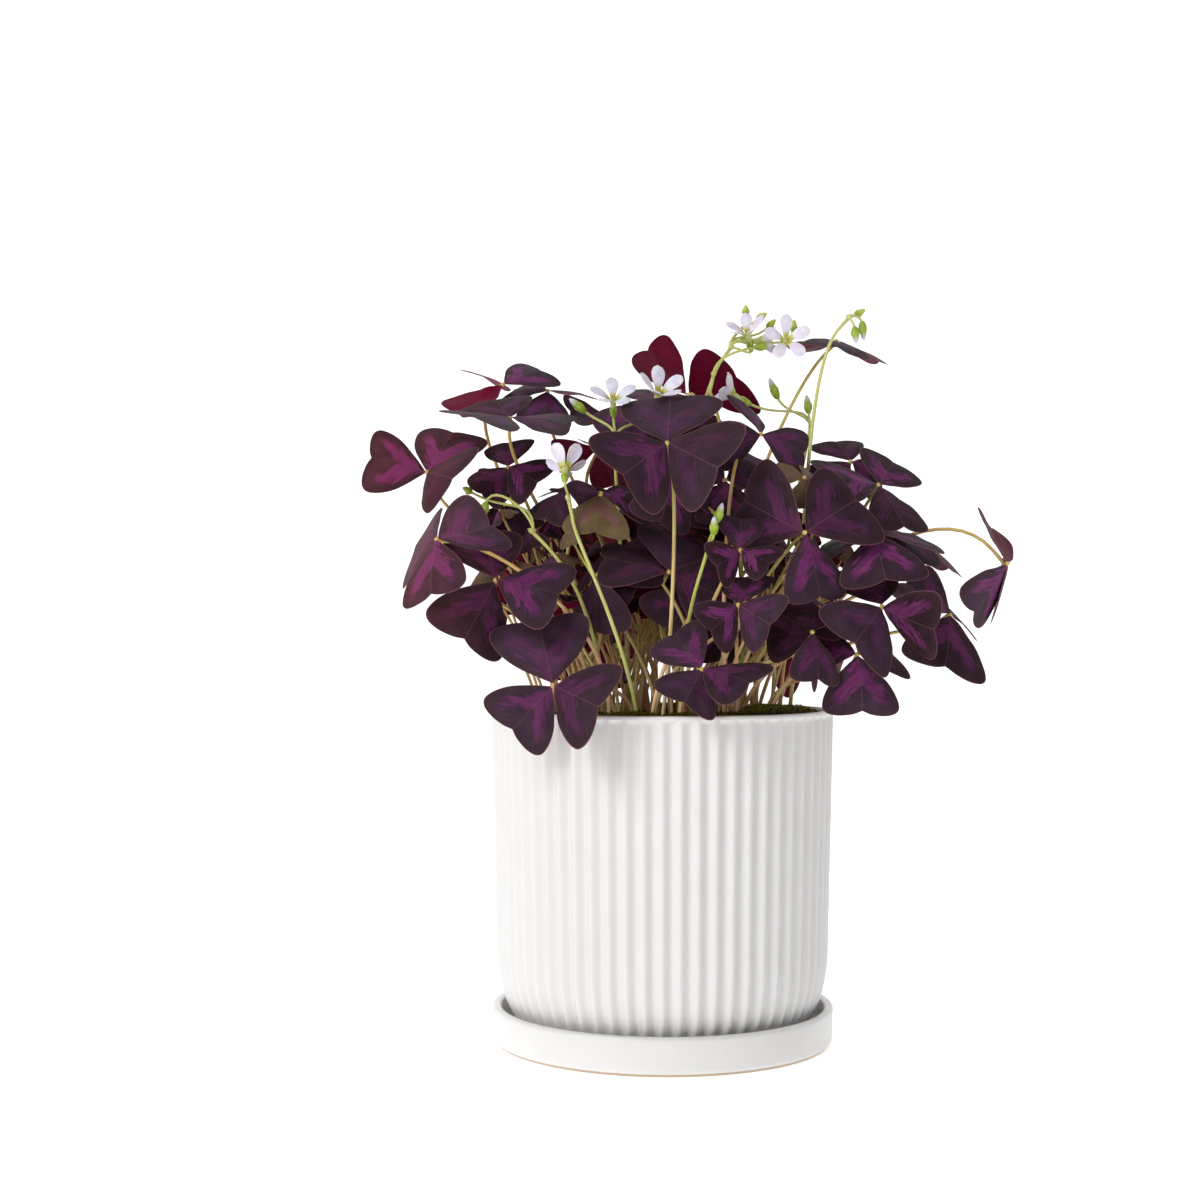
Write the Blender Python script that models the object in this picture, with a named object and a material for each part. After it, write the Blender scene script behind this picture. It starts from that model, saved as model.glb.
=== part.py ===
# Potted purple shamrock: a clump of three-leafleted purple leaves with pale flowers,
# in a fluted white pot that stands in its saucer.
# Metres, +Z up, origin at the middle of the saucer's underside. -Y faces the viewer.

import math
import random

import bpy
import numpy as np
from mathutils.bvhtree import BVHTree

MM = 0.001

# Saucer: a shallow dish with an upright side
SAUCER_RADIUS = 79.4 * MM
SAUCER_WALL = 4.2 * MM
SAUCER_HEIGHT = 17.0 * MM
SAUCER_FLOOR = 4.7 * MM
SAUCER_FOOT_RADIUS = 77.6 * MM
SAUCER_SIDES = 48

# Pot: fluted outside, plain lip, drainage hole
GAP = 0.3 * MM
POT_RIM_RADIUS = 80.0 * MM
POT_TOP = 153.9 * MM
POT_BASE = SAUCER_FLOOR + GAP
POT_BASE_RADIUS = 60.0 * MM
POT_SHOULDER = 45.0 * MM
POT_SHOULDER_RADIUS = 77.2 * MM
POT_CORNER_REACH = 18.0 * MM
POT_WALL = 5.0 * MM
POT_FLOOR = 6.0 * MM
LIP_HEIGHT = 2.6 * MM
FLUTES = 62
FLUTE_DEPTH = 1.5 * MM
DRAIN_RADIUS = 8.0 * MM
DRAIN_SIDES = 12

# Soil: fills the pot to just below the lip
SOIL_TOP = 150.0 * MM
SOIL_SIDES = 48
STEM_SINK = 9.0 * MM
HOLE_RADIUS = 1.95 * MM
HOLE_SIDES = 4
CROWN_RADIUS = 5.5 * MM
CROWN_RISE = 2.0 * MM
CROWN_SIDES = 8
CROWN_STALK_RING = 3.4 * MM

# Leaves: three leaflets on a thin stalk
LEAFLET_LOBE_REACH = 0.87
LEAFLET_LOBE_HALF = 0.60
LEAFLET_HALF_OUTLINE = ((0.42, 0.43), (0.86, 0.62), (0.94, 0.36))
LEAFLET_NOTCH = 0.885
LEAFLET_MID = 0.44
LEAFLET_BASE_HALF = 0.7 * MM
LEAFLET_BASE_REACH = 3.2 * MM
LEAFLET_FOLD = math.radians(5)
LEAFLET_BEND = math.radians(14)
LEAFLET_DROOP = math.radians(24)
BLADE_THICKNESS = 0.75 * MM
STALK_RADIUS = 0.95 * MM
STALK_SIDES = 3
STALK_STEPS = 6
HUB_RADIUS = 1.05 * MM
KNOB_RADIUS = 2.0 * MM
KNOB_SIDES = 5
NECK = 9.0 * MM

# The viewer's eye: leaves are listed as they are seen against the pot's axis
EYE_DISTANCE = 862.0 * MM
EYE_HEIGHT = 189.5 * MM


def unit(vector):
    return vector / np.linalg.norm(vector)


def spot(across, height, depth):
    """A point seen at (across, height) against the pot's axis, that lies depth behind it."""
    spread = 1 + depth / EYE_DISTANCE
    return np.array((across * spread, depth, EYE_HEIGHT + (height - EYE_HEIGHT) * spread))


# Hand-placed leaves: name, (across, height, depth) of the hub, leaflet length, then each leaflet
# that shows, as its two lobe tips seen from the hub, clockwise for the upper face, and 1 where
# it leans to the viewer or -1 where it leans away. All in mm. The rest follow by symmetry.
LEAVES = (
    ("leaf_01", (-111, 265, -20), 32, ((-29, -8, -23, 20, 1), (24, 11, 1, -18, 1))),
    ("leaf_02", (-75, 307, 12), 26, ((-30, -8.5, -14, -15, 1), (8, 10, 27, 0, -1),
                                     (-14.3, 4.9, 0.7, -2, -1))),
    ("leaf_03", (-72, 291, -12), 32, ((-23.5, 3, 9.5, 10.5, -1), (0.5, -6, -32, 3, 1))),
    ("leaf_04", (-54, 304, 24), 24, ((10, -16, -14, -13, 1), (9, -2, 23, -4, -1))),
    ("leaf_05", (-72.6, 268, -18), 23, ((-10, 7, 11, 11.5, -1), (-4, -18.5, -18, -6, 1),
                                       (22.5, 1.5, 5, -17.5, 1))),
    ("leaf_06", (-30, 276, 8), 25, ((-20, 4, -16, -9, -1),)),
    ("leaf_07", (2.5, 279, -58), 38, ((-6, -32.5, -36, 1.5, 1), (36, 7, 12, -31.5, 1),
                                     (-22, 18, 26, 20.5, -1))),
    ("leaf_08", (-1, 296, -8), 32, ((-19, 7.5, 19, 4, -1),)),
    ("leaf_09", (-28.8, 255.5, -48), 26, ((12.5, -20.5, -17.5, -17, 1), (-19, 1, -9, 4.5, 1),
                                         (14, 2, 19, -14, -1))),
    ("leaf_10", (-106.5, 234, -70), 34, ((14, 20, 35, -4, 1), (13, -20, -15.5, -32, 1),
                                        (-16.5, -23.5, 1, 14, -1))),
    ("leaf_11", (-78.7, 214.5, -62), 36, ((37.5, 6, 20, -22.5, 1), (1.5, -38, -32, -16, 1),
                                         (-17, 13, 8, 15, -1))),
    ("leaf_12", (-30.6, 217, -36), 31, ((15.5, -23.5, -12.5, -30.5, 1),)),
    ("leaf_13", (-51.4, 164.8, -76), 36, ((-30, 24, 16, 32.5, -1), (-6, -32, -31.5, -7, 1),
                                         (31.5, 8, 12, -29, 1))),
    ("leaf_14", (3.3, 218, -52), 31, ((-33, -6, -31, 15, 1), (20, 3, 12, -20, -1))),
    ("leaf_15", (18.8, 172.5, -74), 28, ((-22.5, 7, -1, 21, -1), (4.5, -23.5, -22, -8, 1),
                                        (35, 1, 11, -17.5, 1))),
    ("leaf_16", (67, 236.6, -58), 37, ((-36, -4, -18, 34.5, -1), (9, 31, 37.5, -3, -1),
                                      (19, -28.5, -8.5, -31, 1))),
    ("leaf_17", (101.5, 259, -24), 31, ((-16, -8, -31, 12, 1), (23, -21, -2, -20, 1),
                                       (-7, 16, 18.5, 1, -1))),
    ("leaf_18", (88.6, 270, 0), 25, ((-17, 6, 4, 8, -1),)),
    ("leaf_19", (99, 236.6, -40), 34, ((25, -20, -14, -25, 1),)),
    ("leaf_20", (103, 202, -62), 37, ((1.2, -33, -29, -3, 1), (24, 5, 21.5, -23, 1),
                                     (-16, 8, 3, 9, -1))),
    ("leaf_21", (135, 198, -40), 34, ((15, -32, -22, -17.5, 1), (-22, 8, -8, 17.5, 1),
                                      (-16, 14, 12, -12, -1))),
    ("leaf_22", (161.6, 222, -10), 32, ((-12.5, -30, -21, -12, 1), (1.5, 9, -13.5, 26, -1),
                                         (-3, 1, -8, -28, -1))),
    ("leaf_23", (118, 236, -14), 27, ((8, -15.5, 22, -20, -1),)),
    ("leaf_24", (91.5, 179.5, -46), 30, ((18.5, -26.5, -15.5, -26, 1),)),
    ("leaf_25", (70.7, 190, -52), 25, ((12, -24, -10, -20, 1), (-12, 8, 14, 9, -1))),
    ("leaf_26", (36.8, 228.4, -62), 20, ((-6.5, -17.5, -16.5, 2.5, 1), (20, 0, 7, -14, 1))),
    ("leaf_27", (35.8, 202.7, -66), 25, ((-5.5, -22.5, -21, -1.5, 1), (23, 3, 7.5, -22, 1),
                                        (-6, 9, 14, 10, -1))),
    ("leaf_28", (67, 207, -38), 28, ((16.5, -20, -15, -15, 1),)),
    ("leaf_29", (12.2, 301.7, 32), 35, ((-9.5, 28, -25.5, 14.5, 1), (33.5, -8, 9, 20.5, 1))),
    ("leaf_30", (82, 327, 18), 26, ((15, -9, -15, -1, 1), (-21, -1, -13, -5, 1),
                                   (15, -11, 23, -11, -1))),
    ("leaf_31", (46.6, 283, -22), 26, ((21.5, 0, 16.5, -20, -1), (-13, -13, -14, 4, 1),
                                      (-15.5, 17.5, -1, 8, -1))),
    ("leaf_32", (29.7, 261.6, -22), 25, ((11, -16.5, -12, -16.5, 1),)),
    ("leaf_33", (67, 262.5, -36), 19, ((8, -13, -7, -11, 1),)),
    ("leaf_34", (8.5, 257, -28), 27, ((14.5, -18, -14, -15, 1),)),
    ("leaf_35", (-74.5, 250.3, -28), 21, ((1, -17, -10, -7, 1), (19, -8, 5, -17, 1))),
    ("leaf_36", (-44.8, 257, -28), 23, ((-1, -15, -16, -10, 1),)),
    ("leaf_37", (-26, 292, -10), 23, ((-14, -4, -20, 10, -1), (15.5, -4, 4, -9, 1),
                                      (-9, -3, 10, -3, -1))),
)

# Leaves whose leaflets cross near the hub: they meet in a small knob
KNOBBED_LEAVES = ("leaf_02", "leaf_09", "leaf_21", "leaf_22", "leaf_30", "leaf_37")

# Leaves of the inside and the far side, in tufts that each grow from one crown. Each row draws leaves
# from ranges: count, azimuth from the viewer, height, distance from the pot's axis, tilt and size.
FAR_SEED = 11
FAR_DRAWS = 900
INNER_ROWS = (
    (6, (-110, 110), (238, 275), (5, 50), (45, 85), (24, 32)),
    (4, (-90, 90), (200, 238), (8, 52), (45, 85), (24, 32)),
)
FAR_ROWS = (
    (6, (98, 262), (185, 215), (78, 104), (48, 72), (32, 38)),
    (4, (100, 260), (225, 255), (60, 90), (34, 60), (31, 37)),
    (2, (95, 265), (252, 282), (30, 75), (14, 50), (29, 34)),
)
FAR_DOME_MIDDLE = (5.0, 170.0)
FAR_DOME_HALF = (108.0, 125.0)

# Root places in the soil, and the crowns that the far tufts grow from (mm)
ROOT_PLACES = 76
ROOT_SPREAD = 63.0 * MM
CROWNS = ((-38, 36), (-13, 50), (16, 50), (42, 34))


def leaflet_from_tips(tips, size, spread):
    """Turns two seen lobe tips into the leaflet's place: midrib, upward normal and length.

    A flat leaflet seen from far away is squeezed, never stretched, so the squeeze of its two
    known directions gives how far each of them points to the eye.
    """
    ax, az, bx, bz, lean = tips
    fold_half = LEAFLET_LOBE_HALF * math.cos(LEAFLET_FOLD)
    side = np.array((bx - ax, bz - az)) / (2 * fold_half)
    along = np.array((ax + bx, az + bz)) / (2 * LEAFLET_LOBE_REACH)
    difference = along @ along - side @ side
    product = -(side @ along)
    side_depth = math.sqrt(max(0.0, (difference + math.hypot(difference, 2 * product)) / 2))
    along_depth = math.sqrt(max(0.0, (-difference + math.hypot(difference, 2 * product)) / 2))
    along_y = -lean * along_depth
    side_y = side_depth * (1 if product * along_y > 0 else -1)
    midrib = np.array((along[0], along_y, along[1]))
    lateral = np.array((side[0], side_y, side[1]))
    length = min(max(np.linalg.norm(midrib), 0.88 * size), 1.12 * size)
    midrib = unit(midrib)
    lateral = unit(lateral - (lateral @ midrib) * midrib)
    normal = np.cross(lateral, midrib)
    raise_angle = math.atan(LEAFLET_LOBE_HALF * math.sin(LEAFLET_FOLD) / LEAFLET_LOBE_REACH)
    raised = math.cos(raise_angle) * midrib + math.sin(raise_angle) * normal
    normal = math.cos(raise_angle) * normal - math.sin(raise_angle) * midrib
    return raised, normal, length * MM * spread


def turned(vector, axis, angle):
    """The vector turned round a unit axis."""
    cosine = math.cos(angle)
    sine = math.sin(angle)
    return vector * cosine + np.cross(axis, vector) * sine + axis * (axis @ vector) * (1 - cosine)


def completed(leaflets):
    """Adds the leaflets that don't show, a third of a turn apart round the leaf's own axis."""
    if len(leaflets) == 1:
        midrib, normal, length = leaflets[0]
        axis = math.cos(LEAFLET_DROOP) * normal - math.sin(LEAFLET_DROOP) * midrib
        return leaflets + [(turned(midrib, axis, turn), turned(normal, axis, turn), length)
                           for turn in (math.tau / 3, -math.tau / 3)]
    axis = unit(sum(normal for midrib, normal, length in leaflets))
    if len(leaflets) == 3:
        return leaflets
    droop = -sum(math.asin(midrib @ axis) for midrib, normal, length in leaflets) / 2
    droop = min(max(droop, 0.0), math.radians(40))
    outward = -sum(midrib - (midrib @ axis) * axis for midrib, normal, length in leaflets)
    outward = unit(outward)
    length = sum(length for midrib, normal, length in leaflets) / 2
    third = (math.cos(droop) * outward - math.sin(droop) * axis,
             math.cos(droop) * axis + math.sin(droop) * outward, length)
    return leaflets + [third]


def sighted(vector, hub):
    """Turns a vector from the level line of sight to the one that runs from the eye to the hub."""
    sight = unit(hub - np.array((0.0, -EYE_DISTANCE, EYE_HEIGHT)))
    return turned(vector, unit(np.array((sight[2], 0.0, -sight[0]))), math.acos(sight[1]))


def seen_leaf(place, size, tips_list):
    """A hand-placed leaf as (hub, leaflets)."""
    across, height, depth = place
    spread = 1 + depth / (EYE_DISTANCE / MM)
    hub = spot(across * MM, height * MM, depth * MM)
    leaflets = completed([leaflet_from_tips(tips, size, spread) for tips in tips_list])
    return hub, [(sighted(midrib, hub), sighted(normal, hub), length)
                 for midrib, normal, length in leaflets]


def tilted_leaf(hub, azimuth, tilt, spin, size):
    """A leaf whose axis leans by tilt to an azimuth, with its first leaflet turned by spin."""
    level = np.array((math.sin(azimuth), -math.cos(azimuth), 0.0))
    upright = np.array((0.0, 0.0, 1.0))
    axis = math.sin(tilt) * level + math.cos(tilt) * upright
    downhill = math.cos(tilt) * level - math.sin(tilt) * upright
    leaflets = []
    for turn in range(3):
        outward = turned(downhill, axis, spin + turn * math.tau / 3)
        midrib = math.cos(LEAFLET_DROOP) * outward - math.sin(LEAFLET_DROOP) * axis
        normal = math.cos(LEAFLET_DROOP) * axis + math.sin(LEAFLET_DROOP) * outward
        leaflets.append((midrib, normal, size))
    return hub, leaflets


def leaf_axis(leaflets):
    return unit(sum(normal for midrib, normal, length in leaflets))


def leaflet_sheet(hub, leaflet, start_reach=LEAFLET_BASE_REACH):
    """Points and triangles of one leaflet: arched along its midrib and folded down from it."""
    midrib, normal, length = leaflet
    lateral = np.cross(midrib, normal)
    rows = [(start_reach / length, LEAFLET_BASE_HALF / length)]
    rows += LEAFLET_HALF_OUTLINE
    flat = [(x, y) for x, y in rows] + [(x, -y) for x, y in rows]
    flat += [(LEAFLET_MID, 0.0), (LEAFLET_NOTCH, 0.0)]
    start = -LEAFLET_BEND / 2
    points = []
    for x, y in flat:
        slope = start + LEAFLET_BEND * x
        along = (math.sin(slope) - math.sin(start)) / LEAFLET_BEND
        rise = (math.cos(slope) - math.cos(start)) / LEAFLET_BEND
        lift = math.cos(slope) * normal + math.sin(slope) * midrib
        points.append(hub + length * (along * midrib + rise * normal
                                      + y * math.cos(LEAFLET_FOLD) * lateral
                                      - abs(y) * math.sin(LEAFLET_FOLD) * lift))
    side = len(rows)
    mid = 2 * side
    notch = mid + 1
    triangles = [(0, mid, side)]
    for first in range(side - 1):
        triangles.append((first, first + 1, mid))
        triangles.append((side + first + 1, side + first, mid))
    triangles.append((side - 1, notch, mid))
    triangles.append((notch, 2 * side - 1, mid))
    return np.array(points), triangles, (0, side)


def leaf_sheet(hub, leaflets):
    """The three leaflets in one sheet, joined round a small six-sided middle."""
    axis = leaf_axis(leaflets)
    level = unit(np.cross(axis, (0.37, 0.21, 0.13)))
    other = np.cross(axis, level)
    order = sorted(leaflets, key=lambda leaflet: math.atan2(leaflet[0] @ other, leaflet[0] @ level))
    points = []
    triangles = []
    middle = []
    for leaflet in order:
        sheet_points, sheet_triangles, base = leaflet_sheet(hub, leaflet)
        start = len(points)
        points.extend(sheet_points)
        triangles.extend(tuple(start + corner for corner in triangle) for triangle in sheet_triangles)
        middle.extend(start + corner for corner in base)
    triangles += [(middle[0], middle[1], middle[2]), (middle[2], middle[3], middle[4]),
                  (middle[4], middle[5], middle[0]), (middle[0], middle[2], middle[4])]
    return np.array(points), triangles


def leaf_foot(hub, leaflets):
    """The middle of the small sheet that joins the leaflets, where the stalk ends."""
    bases = []
    for leaflet in leaflets:
        points, triangles, base = leaflet_sheet(hub, leaflet)
        bases += [points[corner] for corner in base]
    return np.mean(bases, axis=0)


def thick_sheet(points, triangles, thickness):
    """A closed solid of even thickness on a sheet, with the same triangles on both faces."""
    normals = np.zeros_like(points)
    for a, b, c in triangles:
        facing = np.cross(points[b] - points[a], points[c] - points[a])
        for corner in (a, b, c):
            normals[corner] += facing
    normals /= np.linalg.norm(normals, axis=1)[:, None]
    solid = np.vstack((points + normals * thickness / 2, points - normals * thickness / 2))
    count = len(points)
    faces = list(triangles) + [(c + count, b + count, a + count) for a, b, c in triangles]
    edges = {(t[i], t[(i + 1) % 3]) for t in triangles for i in range(3)}
    for a, b in edges:
        if (b, a) not in edges:
            faces.append((b, a, a + count))
            faces.append((b, a + count, b + count))
    return solid, faces


def tube(centres, radii, sides):
    """A closed tube through the centres, with pointed or flat ends as the radii say."""
    centres = np.array(centres)
    tangents = np.gradient(centres, axis=0)
    across = np.cross(tangents[0], (0.31, 0.93, 0.17))
    points = []
    for centre, tangent, radius in zip(centres, tangents, radii):
        tangent = unit(tangent)
        across = unit(across - (across @ tangent) * tangent)
        other = np.cross(tangent, across)
        for side in range(sides):
            angle = math.tau * side / sides
            points.append(centre + radius * (math.cos(angle) * across + math.sin(angle) * other))
    faces = []
    for ring in range(len(centres) - 1):
        for side in range(sides):
            here = ring * sides + side
            beside = ring * sides + (side + 1) % sides
            faces.append((here, beside, beside + sides, here + sides))
    last = (len(centres) - 1) * sides
    faces.append(tuple(reversed(range(sides))))
    faces.append(tuple(last + side for side in range(sides)))
    return np.array(points), faces


def bezier(a, b, c, d, steps):
    """Points along a cubic curve."""
    return [(1 - t) ** 3 * a + 3 * (1 - t) ** 2 * t * b + 3 * (1 - t) * t ** 2 * c + t ** 3 * d
            for t in np.linspace(0, 1, steps)]


def stalk_route(base, hub, axis, shape):
    """A stalk's centre line: up out of the soil, out in an arch, and into the hub along its axis."""
    above = base + np.array((0, 0, STEM_SINK + 1.0 * MM))
    reach = np.linalg.norm(hub - above)
    rise = above + np.array((0, 0, 0.42 * reach)) + 0.10 * (hub - above) * (1, 1, 0)
    arm, bow_x, bow_y = shape
    arrive = hub - axis * min(arm * reach, 110 * MM * arm)
    bow = np.array((bow_x, bow_y, 0.0))
    under = hub - axis * NECK
    line = bezier(above, rise + bow, arrive + 0.6 * bow, under, STALK_STEPS - 1)
    return [base] + line + [hub]


def stalk_solid(route, swell=0.0):
    radii = [STALK_RADIUS + swell] * (len(route) - 1) + [HUB_RADIUS + swell]
    return tube(route, radii, STALK_SIDES)


def leaf_blade(hub, leaflets, thickness=BLADE_THICKNESS):
    return thick_sheet(*leaf_sheet(hub, leaflets), thickness)


def knobbed_blade(hub, leaflets):
    """Three leaflets that cross near the hub, each its own solid, sunk in a small knob."""
    axis = leaf_axis(leaflets)
    steps = ((-1.0, 0.45), (-0.35, 1.0), (0.35, 1.0), (1.0, 0.45))
    solids = [tube([hub + axis * KNOB_RADIUS * along for along, width in steps],
                   [KNOB_RADIUS * width for along, width in steps], KNOB_SIDES)]
    for leaflet in leaflets:
        points, triangles, base = leaflet_sheet(hub, leaflet, 0.5 * KNOB_RADIUS)
        solids.append(thick_sheet(points, triangles, BLADE_THICKNESS))
    return solids


def neck_solid(hub, leaflets, swell=0.0):
    """The straight end of a stalk under its leaf."""
    foot = leaf_foot(hub, leaflets)
    return tube([foot - leaf_axis(leaflets) * NECK * 1.3, foot], [STALK_RADIUS + swell] * 2, STALK_SIDES)


def tree_of(solids):
    """One search tree over several (points, faces) solids."""
    points = []
    faces = []
    for solid_points, solid_faces in solids:
        start = len(points)
        points.extend(solid_points.tolist())
        faces.extend(tuple(start + corner for corner in face) for face in solid_faces)
    return BVHTree.FromPolygons(points, faces)


# Search order for the rule that sets leaves and stalks clear of each other
BLADE_CLEARANCE = 1.1 * MM
STALK_CLEARANCE = 0.5 * MM
DEPTH_STEP = 2.5 * MM
DEPTH_SHIFTS = [0.0] + [sign * step * DEPTH_STEP for step in range(1, 25) for sign in (-1, 1)]
BOW_RINGS = (6, 12, 18, 25, 33, 42)
BOW_TURNS = 10
ARMS = (0.32, 0.18, 0.48)
ROOT_CHOICES = 14
ROUTE_SHAPES = [(arm, 0.0, 0.0) for arm in ARMS]
ROUTE_SHAPES += [(arm, reach * MM * math.cos(math.tau * k / BOW_TURNS),
                  reach * MM * math.sin(math.tau * k / BOW_TURNS))
                 for reach in BOW_RINGS for k in range(BOW_TURNS) for arm in ARMS]
ROUTE_ROUNDS = 12


def shifted_spot(hub, shift):
    """The hub moved along the line of sight by a depth."""
    spread = (EYE_DISTANCE + hub[1] + shift) / (EYE_DISTANCE + hub[1])
    return np.array((hub[0] * spread, hub[1] + shift,
                     EYE_HEIGHT + (hub[2] - EYE_HEIGHT) * spread))


def is_clear(solids, trees):
    tree = tree_of(solids)
    return not any(tree.overlap(other) for other in trees)


def swollen_leaf(hub, leaflets):
    """A leaf's blade and neck, grown by the clearance they keep."""
    return [leaf_blade(hub, leaflets, BLADE_THICKNESS + 2 * BLADE_CLEARANCE),
            neck_solid(hub, leaflets, STALK_CLEARANCE)]


def set_leaf(hub, leaflets, trees):
    """Slides a leaf along the line of sight until its blades are clear."""
    for shift in DEPTH_SHIFTS:
        place = shifted_spot(hub, shift)
        if is_clear(swollen_leaf(place, leaflets), trees):
            return place
    return hub


def find_route(hub, axis, slots, lean_in, trees):
    """Picks a near root place and the least bow that keep a stalk clear."""
    wish = np.array((hub[0], hub[1])) * lean_in
    order = sorted(range(len(slots)), key=lambda k: np.linalg.norm(slots[k][:2] - wish))
    for shape in ROUTE_SHAPES:
        for k in order[:ROOT_CHOICES]:
            route = stalk_route(slots[k], hub, axis, shape)
            if is_clear([stalk_solid(route, STALK_CLEARANCE)], trees):
                return k, route
    return None


def in_dome(hub, leaflets):
    """True when every leaflet's end, as the viewer sees it, lies in the dome of the clump."""
    for midrib, normal, length in leaflets:
        tip = hub + midrib * length
        shrink = EYE_DISTANCE / (EYE_DISTANCE + tip[1])
        across = (tip[0] * shrink / MM - FAR_DOME_MIDDLE[0]) / FAR_DOME_HALF[0]
        height = (EYE_HEIGHT + (tip[2] - EYE_HEIGHT) * shrink) / MM
        rise = max(0.0, (height - FAR_DOME_MIDDLE[1]) / FAR_DOME_HALF[1])
        if math.hypot(across, rise) > 1:
            return False
    return True


# Flowers: open blooms of five petals, and green stalks, cups and buds
PETAL_LENGTH = 11.5 * MM
PETAL_HALF = 3.6 * MM
PETAL_THICKNESS = 0.7 * MM
THROAT_LENGTH = 6.0 * MM
THROAT_RADIUS = 1.5 * MM
MOUTH_RADIUS = 1.7 * MM
PETALS = 5
CUP_RADIUS = 1.7 * MM
SCAPE_RADIUS = 0.9 * MM
PEDICEL_RADIUS = 0.65 * MM
BUD_RADIUS = 1.7 * MM
FORK_SINK = 2.0 * MM

# Each flowering stem: name, (across, height, depth) of the fork where its pedicels part, the azimuth
# and tilt of the stem there, then its blooms as (across, height, depth, azimuth, tilt, opening, size)
# and its buds as (across, height, depth, azimuth, tilt, length). Angles in degrees: azimuth 0 faces
# the viewer and tilt is from straight up. Opening is how far the petals spread from the bloom's axis.
FLOWER_STEMS = (
    ("flower_stem_tall", (33, 324.5, 2), (120, 40),
     ((40.2, 330.4, -6, 335, 36, 62, 0.9), (45.6, 327.2, 12, 90, 90, 42, 0.85),
      (58.5, 327.5, -6, 8, 82, 80, 0.95)),
     ((39.5, 341.5, 12, 0, 20, 5), (47, 338.5, 10, 60, 60, 6), (51.5, 335, 16, 60, 50, 6),
      (62, 334, 6, 20, 10, 6))),
    ("flower_stem_middle", (24.5, 312, -6), (90, 12),
     (),
     ((48, 324.5, -2, 90, 82, 9),)),
    ("flower_stem_right", (88.6, 338.5, -4), (90, 42),
     (),
     ((94.5, 331.5, 0, 100, 174, 9), (91, 329.5, -6, 60, 174, 8), (93, 340, 6, 80, 62, 6))),
    ("flower_stem_left", (-62, 238, -54), (270, 45),
     (),
     ((-84, 247, -46, 330, 160, 9), (-92, 257, -20, 280, 60, 5))),
    ("flower_stem_white", (-22, 283, -30), (0, 8),
     ((-23, 299.5, -26, 0, 42, 72, 0.95), (-1.5, 302.5, -30, 20, 45, 60, 1.05)),
     ((-40, 297, -24, 300, 55, 10),)),
    ("flower_stem_side", (70, 288, 26), (60, 12),
     ((33.5, 301.5, 6, 275, 62, 58, 0.95),),
     ((52.5, 304.5, 26, 290, 25, 11), (68.5, 297, 24, 300, 8, 9))),
    ("flower_stem_low", (-44.5, 254, -60), (300, 15),
     ((-45.5, 267, -62, 180, 50, 48, 1.0),),
     ()),
    ("flower_stem_bright", (22, 230, -68), (60, 20),
     (),
     ((27, 246, -70, 60, 20, 9), (24.5, 240, -72, 0, 14, 8))),
)


def facing(azimuth, tilt):
    azimuth = math.radians(azimuth)
    tilt = math.radians(tilt)
    return np.array((math.sin(tilt) * math.sin(azimuth), -math.sin(tilt) * math.cos(azimuth),
                     math.cos(tilt)))


def corolla_sheet(centre, axis, opening, size):
    """Five petals in one sheet round a small middle: claws that widen and curve outward."""
    side = unit(np.cross(axis, (0.2, 0.3, 0.93)))
    rows = ((0.0, 0.0, 0.75 * MM), (0.62, 0.75, PETAL_HALF), (1.0, 1.0, 2.0 * MM))
    points = []
    triangles = []
    middle = []
    for petal in range(PETALS):
        outward = turned(side, axis, math.tau * petal / PETALS)
        lateral = np.cross(axis, outward)
        place = centre + outward * MOUTH_RADIUS * size
        previous = 0.0
        start = len(points)
        for reach, curl, half in rows:
            angle = math.radians(opening) * curl
            place = place + (reach - previous) * PETAL_LENGTH * size * (
                math.cos(angle) * axis + math.sin(angle) * outward)
            previous = reach
            points.append(place - lateral * half * size)
            points.append(place + lateral * half * size)
        for row in range(len(rows) - 1):
            low = start + 2 * row
            triangles.append((low, low + 2, low + 1))
            triangles.append((low + 1, low + 2, low + 3))
        middle += [start, start + 1]
    triangles += [(middle[0], middle[k], middle[k + 1]) for k in range(1, len(middle) - 1)]
    return np.array(points), triangles


def bloom_solids(centre, axis, opening, size, swell=0.0):
    """Throat and petals of one bloom; centre is where the petals leave the throat."""
    throat = tube([centre - axis * THROAT_LENGTH * size, centre - axis * 0.4 * THROAT_LENGTH * size,
                   centre + axis * 0.1 * MM],
                  [0.8 * MM + swell, THROAT_RADIUS + swell, THROAT_RADIUS * 0.8 + swell], 4)
    corolla = thick_sheet(*corolla_sheet(centre, axis, opening, size), PETAL_THICKNESS + 2 * swell)
    return [throat, corolla]


def bud_solid(centre, axis, length, swell=0.0):
    """A spindle: narrow foot, fat middle and pointed tip."""
    length *= MM
    steps = ((-0.5, 0.55), (-0.15, 1.0), (0.2, 0.8), (0.5, 0.25))
    return tube([centre + axis * length * along for along, width in steps],
                [BUD_RADIUS * width + swell for along, width in steps], 4)


def cup_solid(centre, axis, size, swell=0.0):
    """The green cup under a bloom's throat."""
    foot = centre - axis * (THROAT_LENGTH * size + 4.0 * MM)
    rim = centre - axis * (THROAT_LENGTH * size + 0.35 * MM)
    return tube([foot, foot + 0.5 * (rim - foot), rim],
                [0.8 * MM + swell, CUP_RADIUS + swell, CUP_RADIUS * 0.8 + swell], 4)


def pedicel_solid(fork, end, direction, swell=0.0):
    """A thin curved stalk from the fork to the foot of a bud or cup."""
    reach = np.linalg.norm(end - fork)
    route = bezier(fork, fork + np.array((0, 0, 0.35 * reach)), end - direction * 0.4 * reach,
                   end + direction * 1.2 * MM, 4)
    return tube(route, [PEDICEL_RADIUS + swell] * 4, 3)


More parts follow.
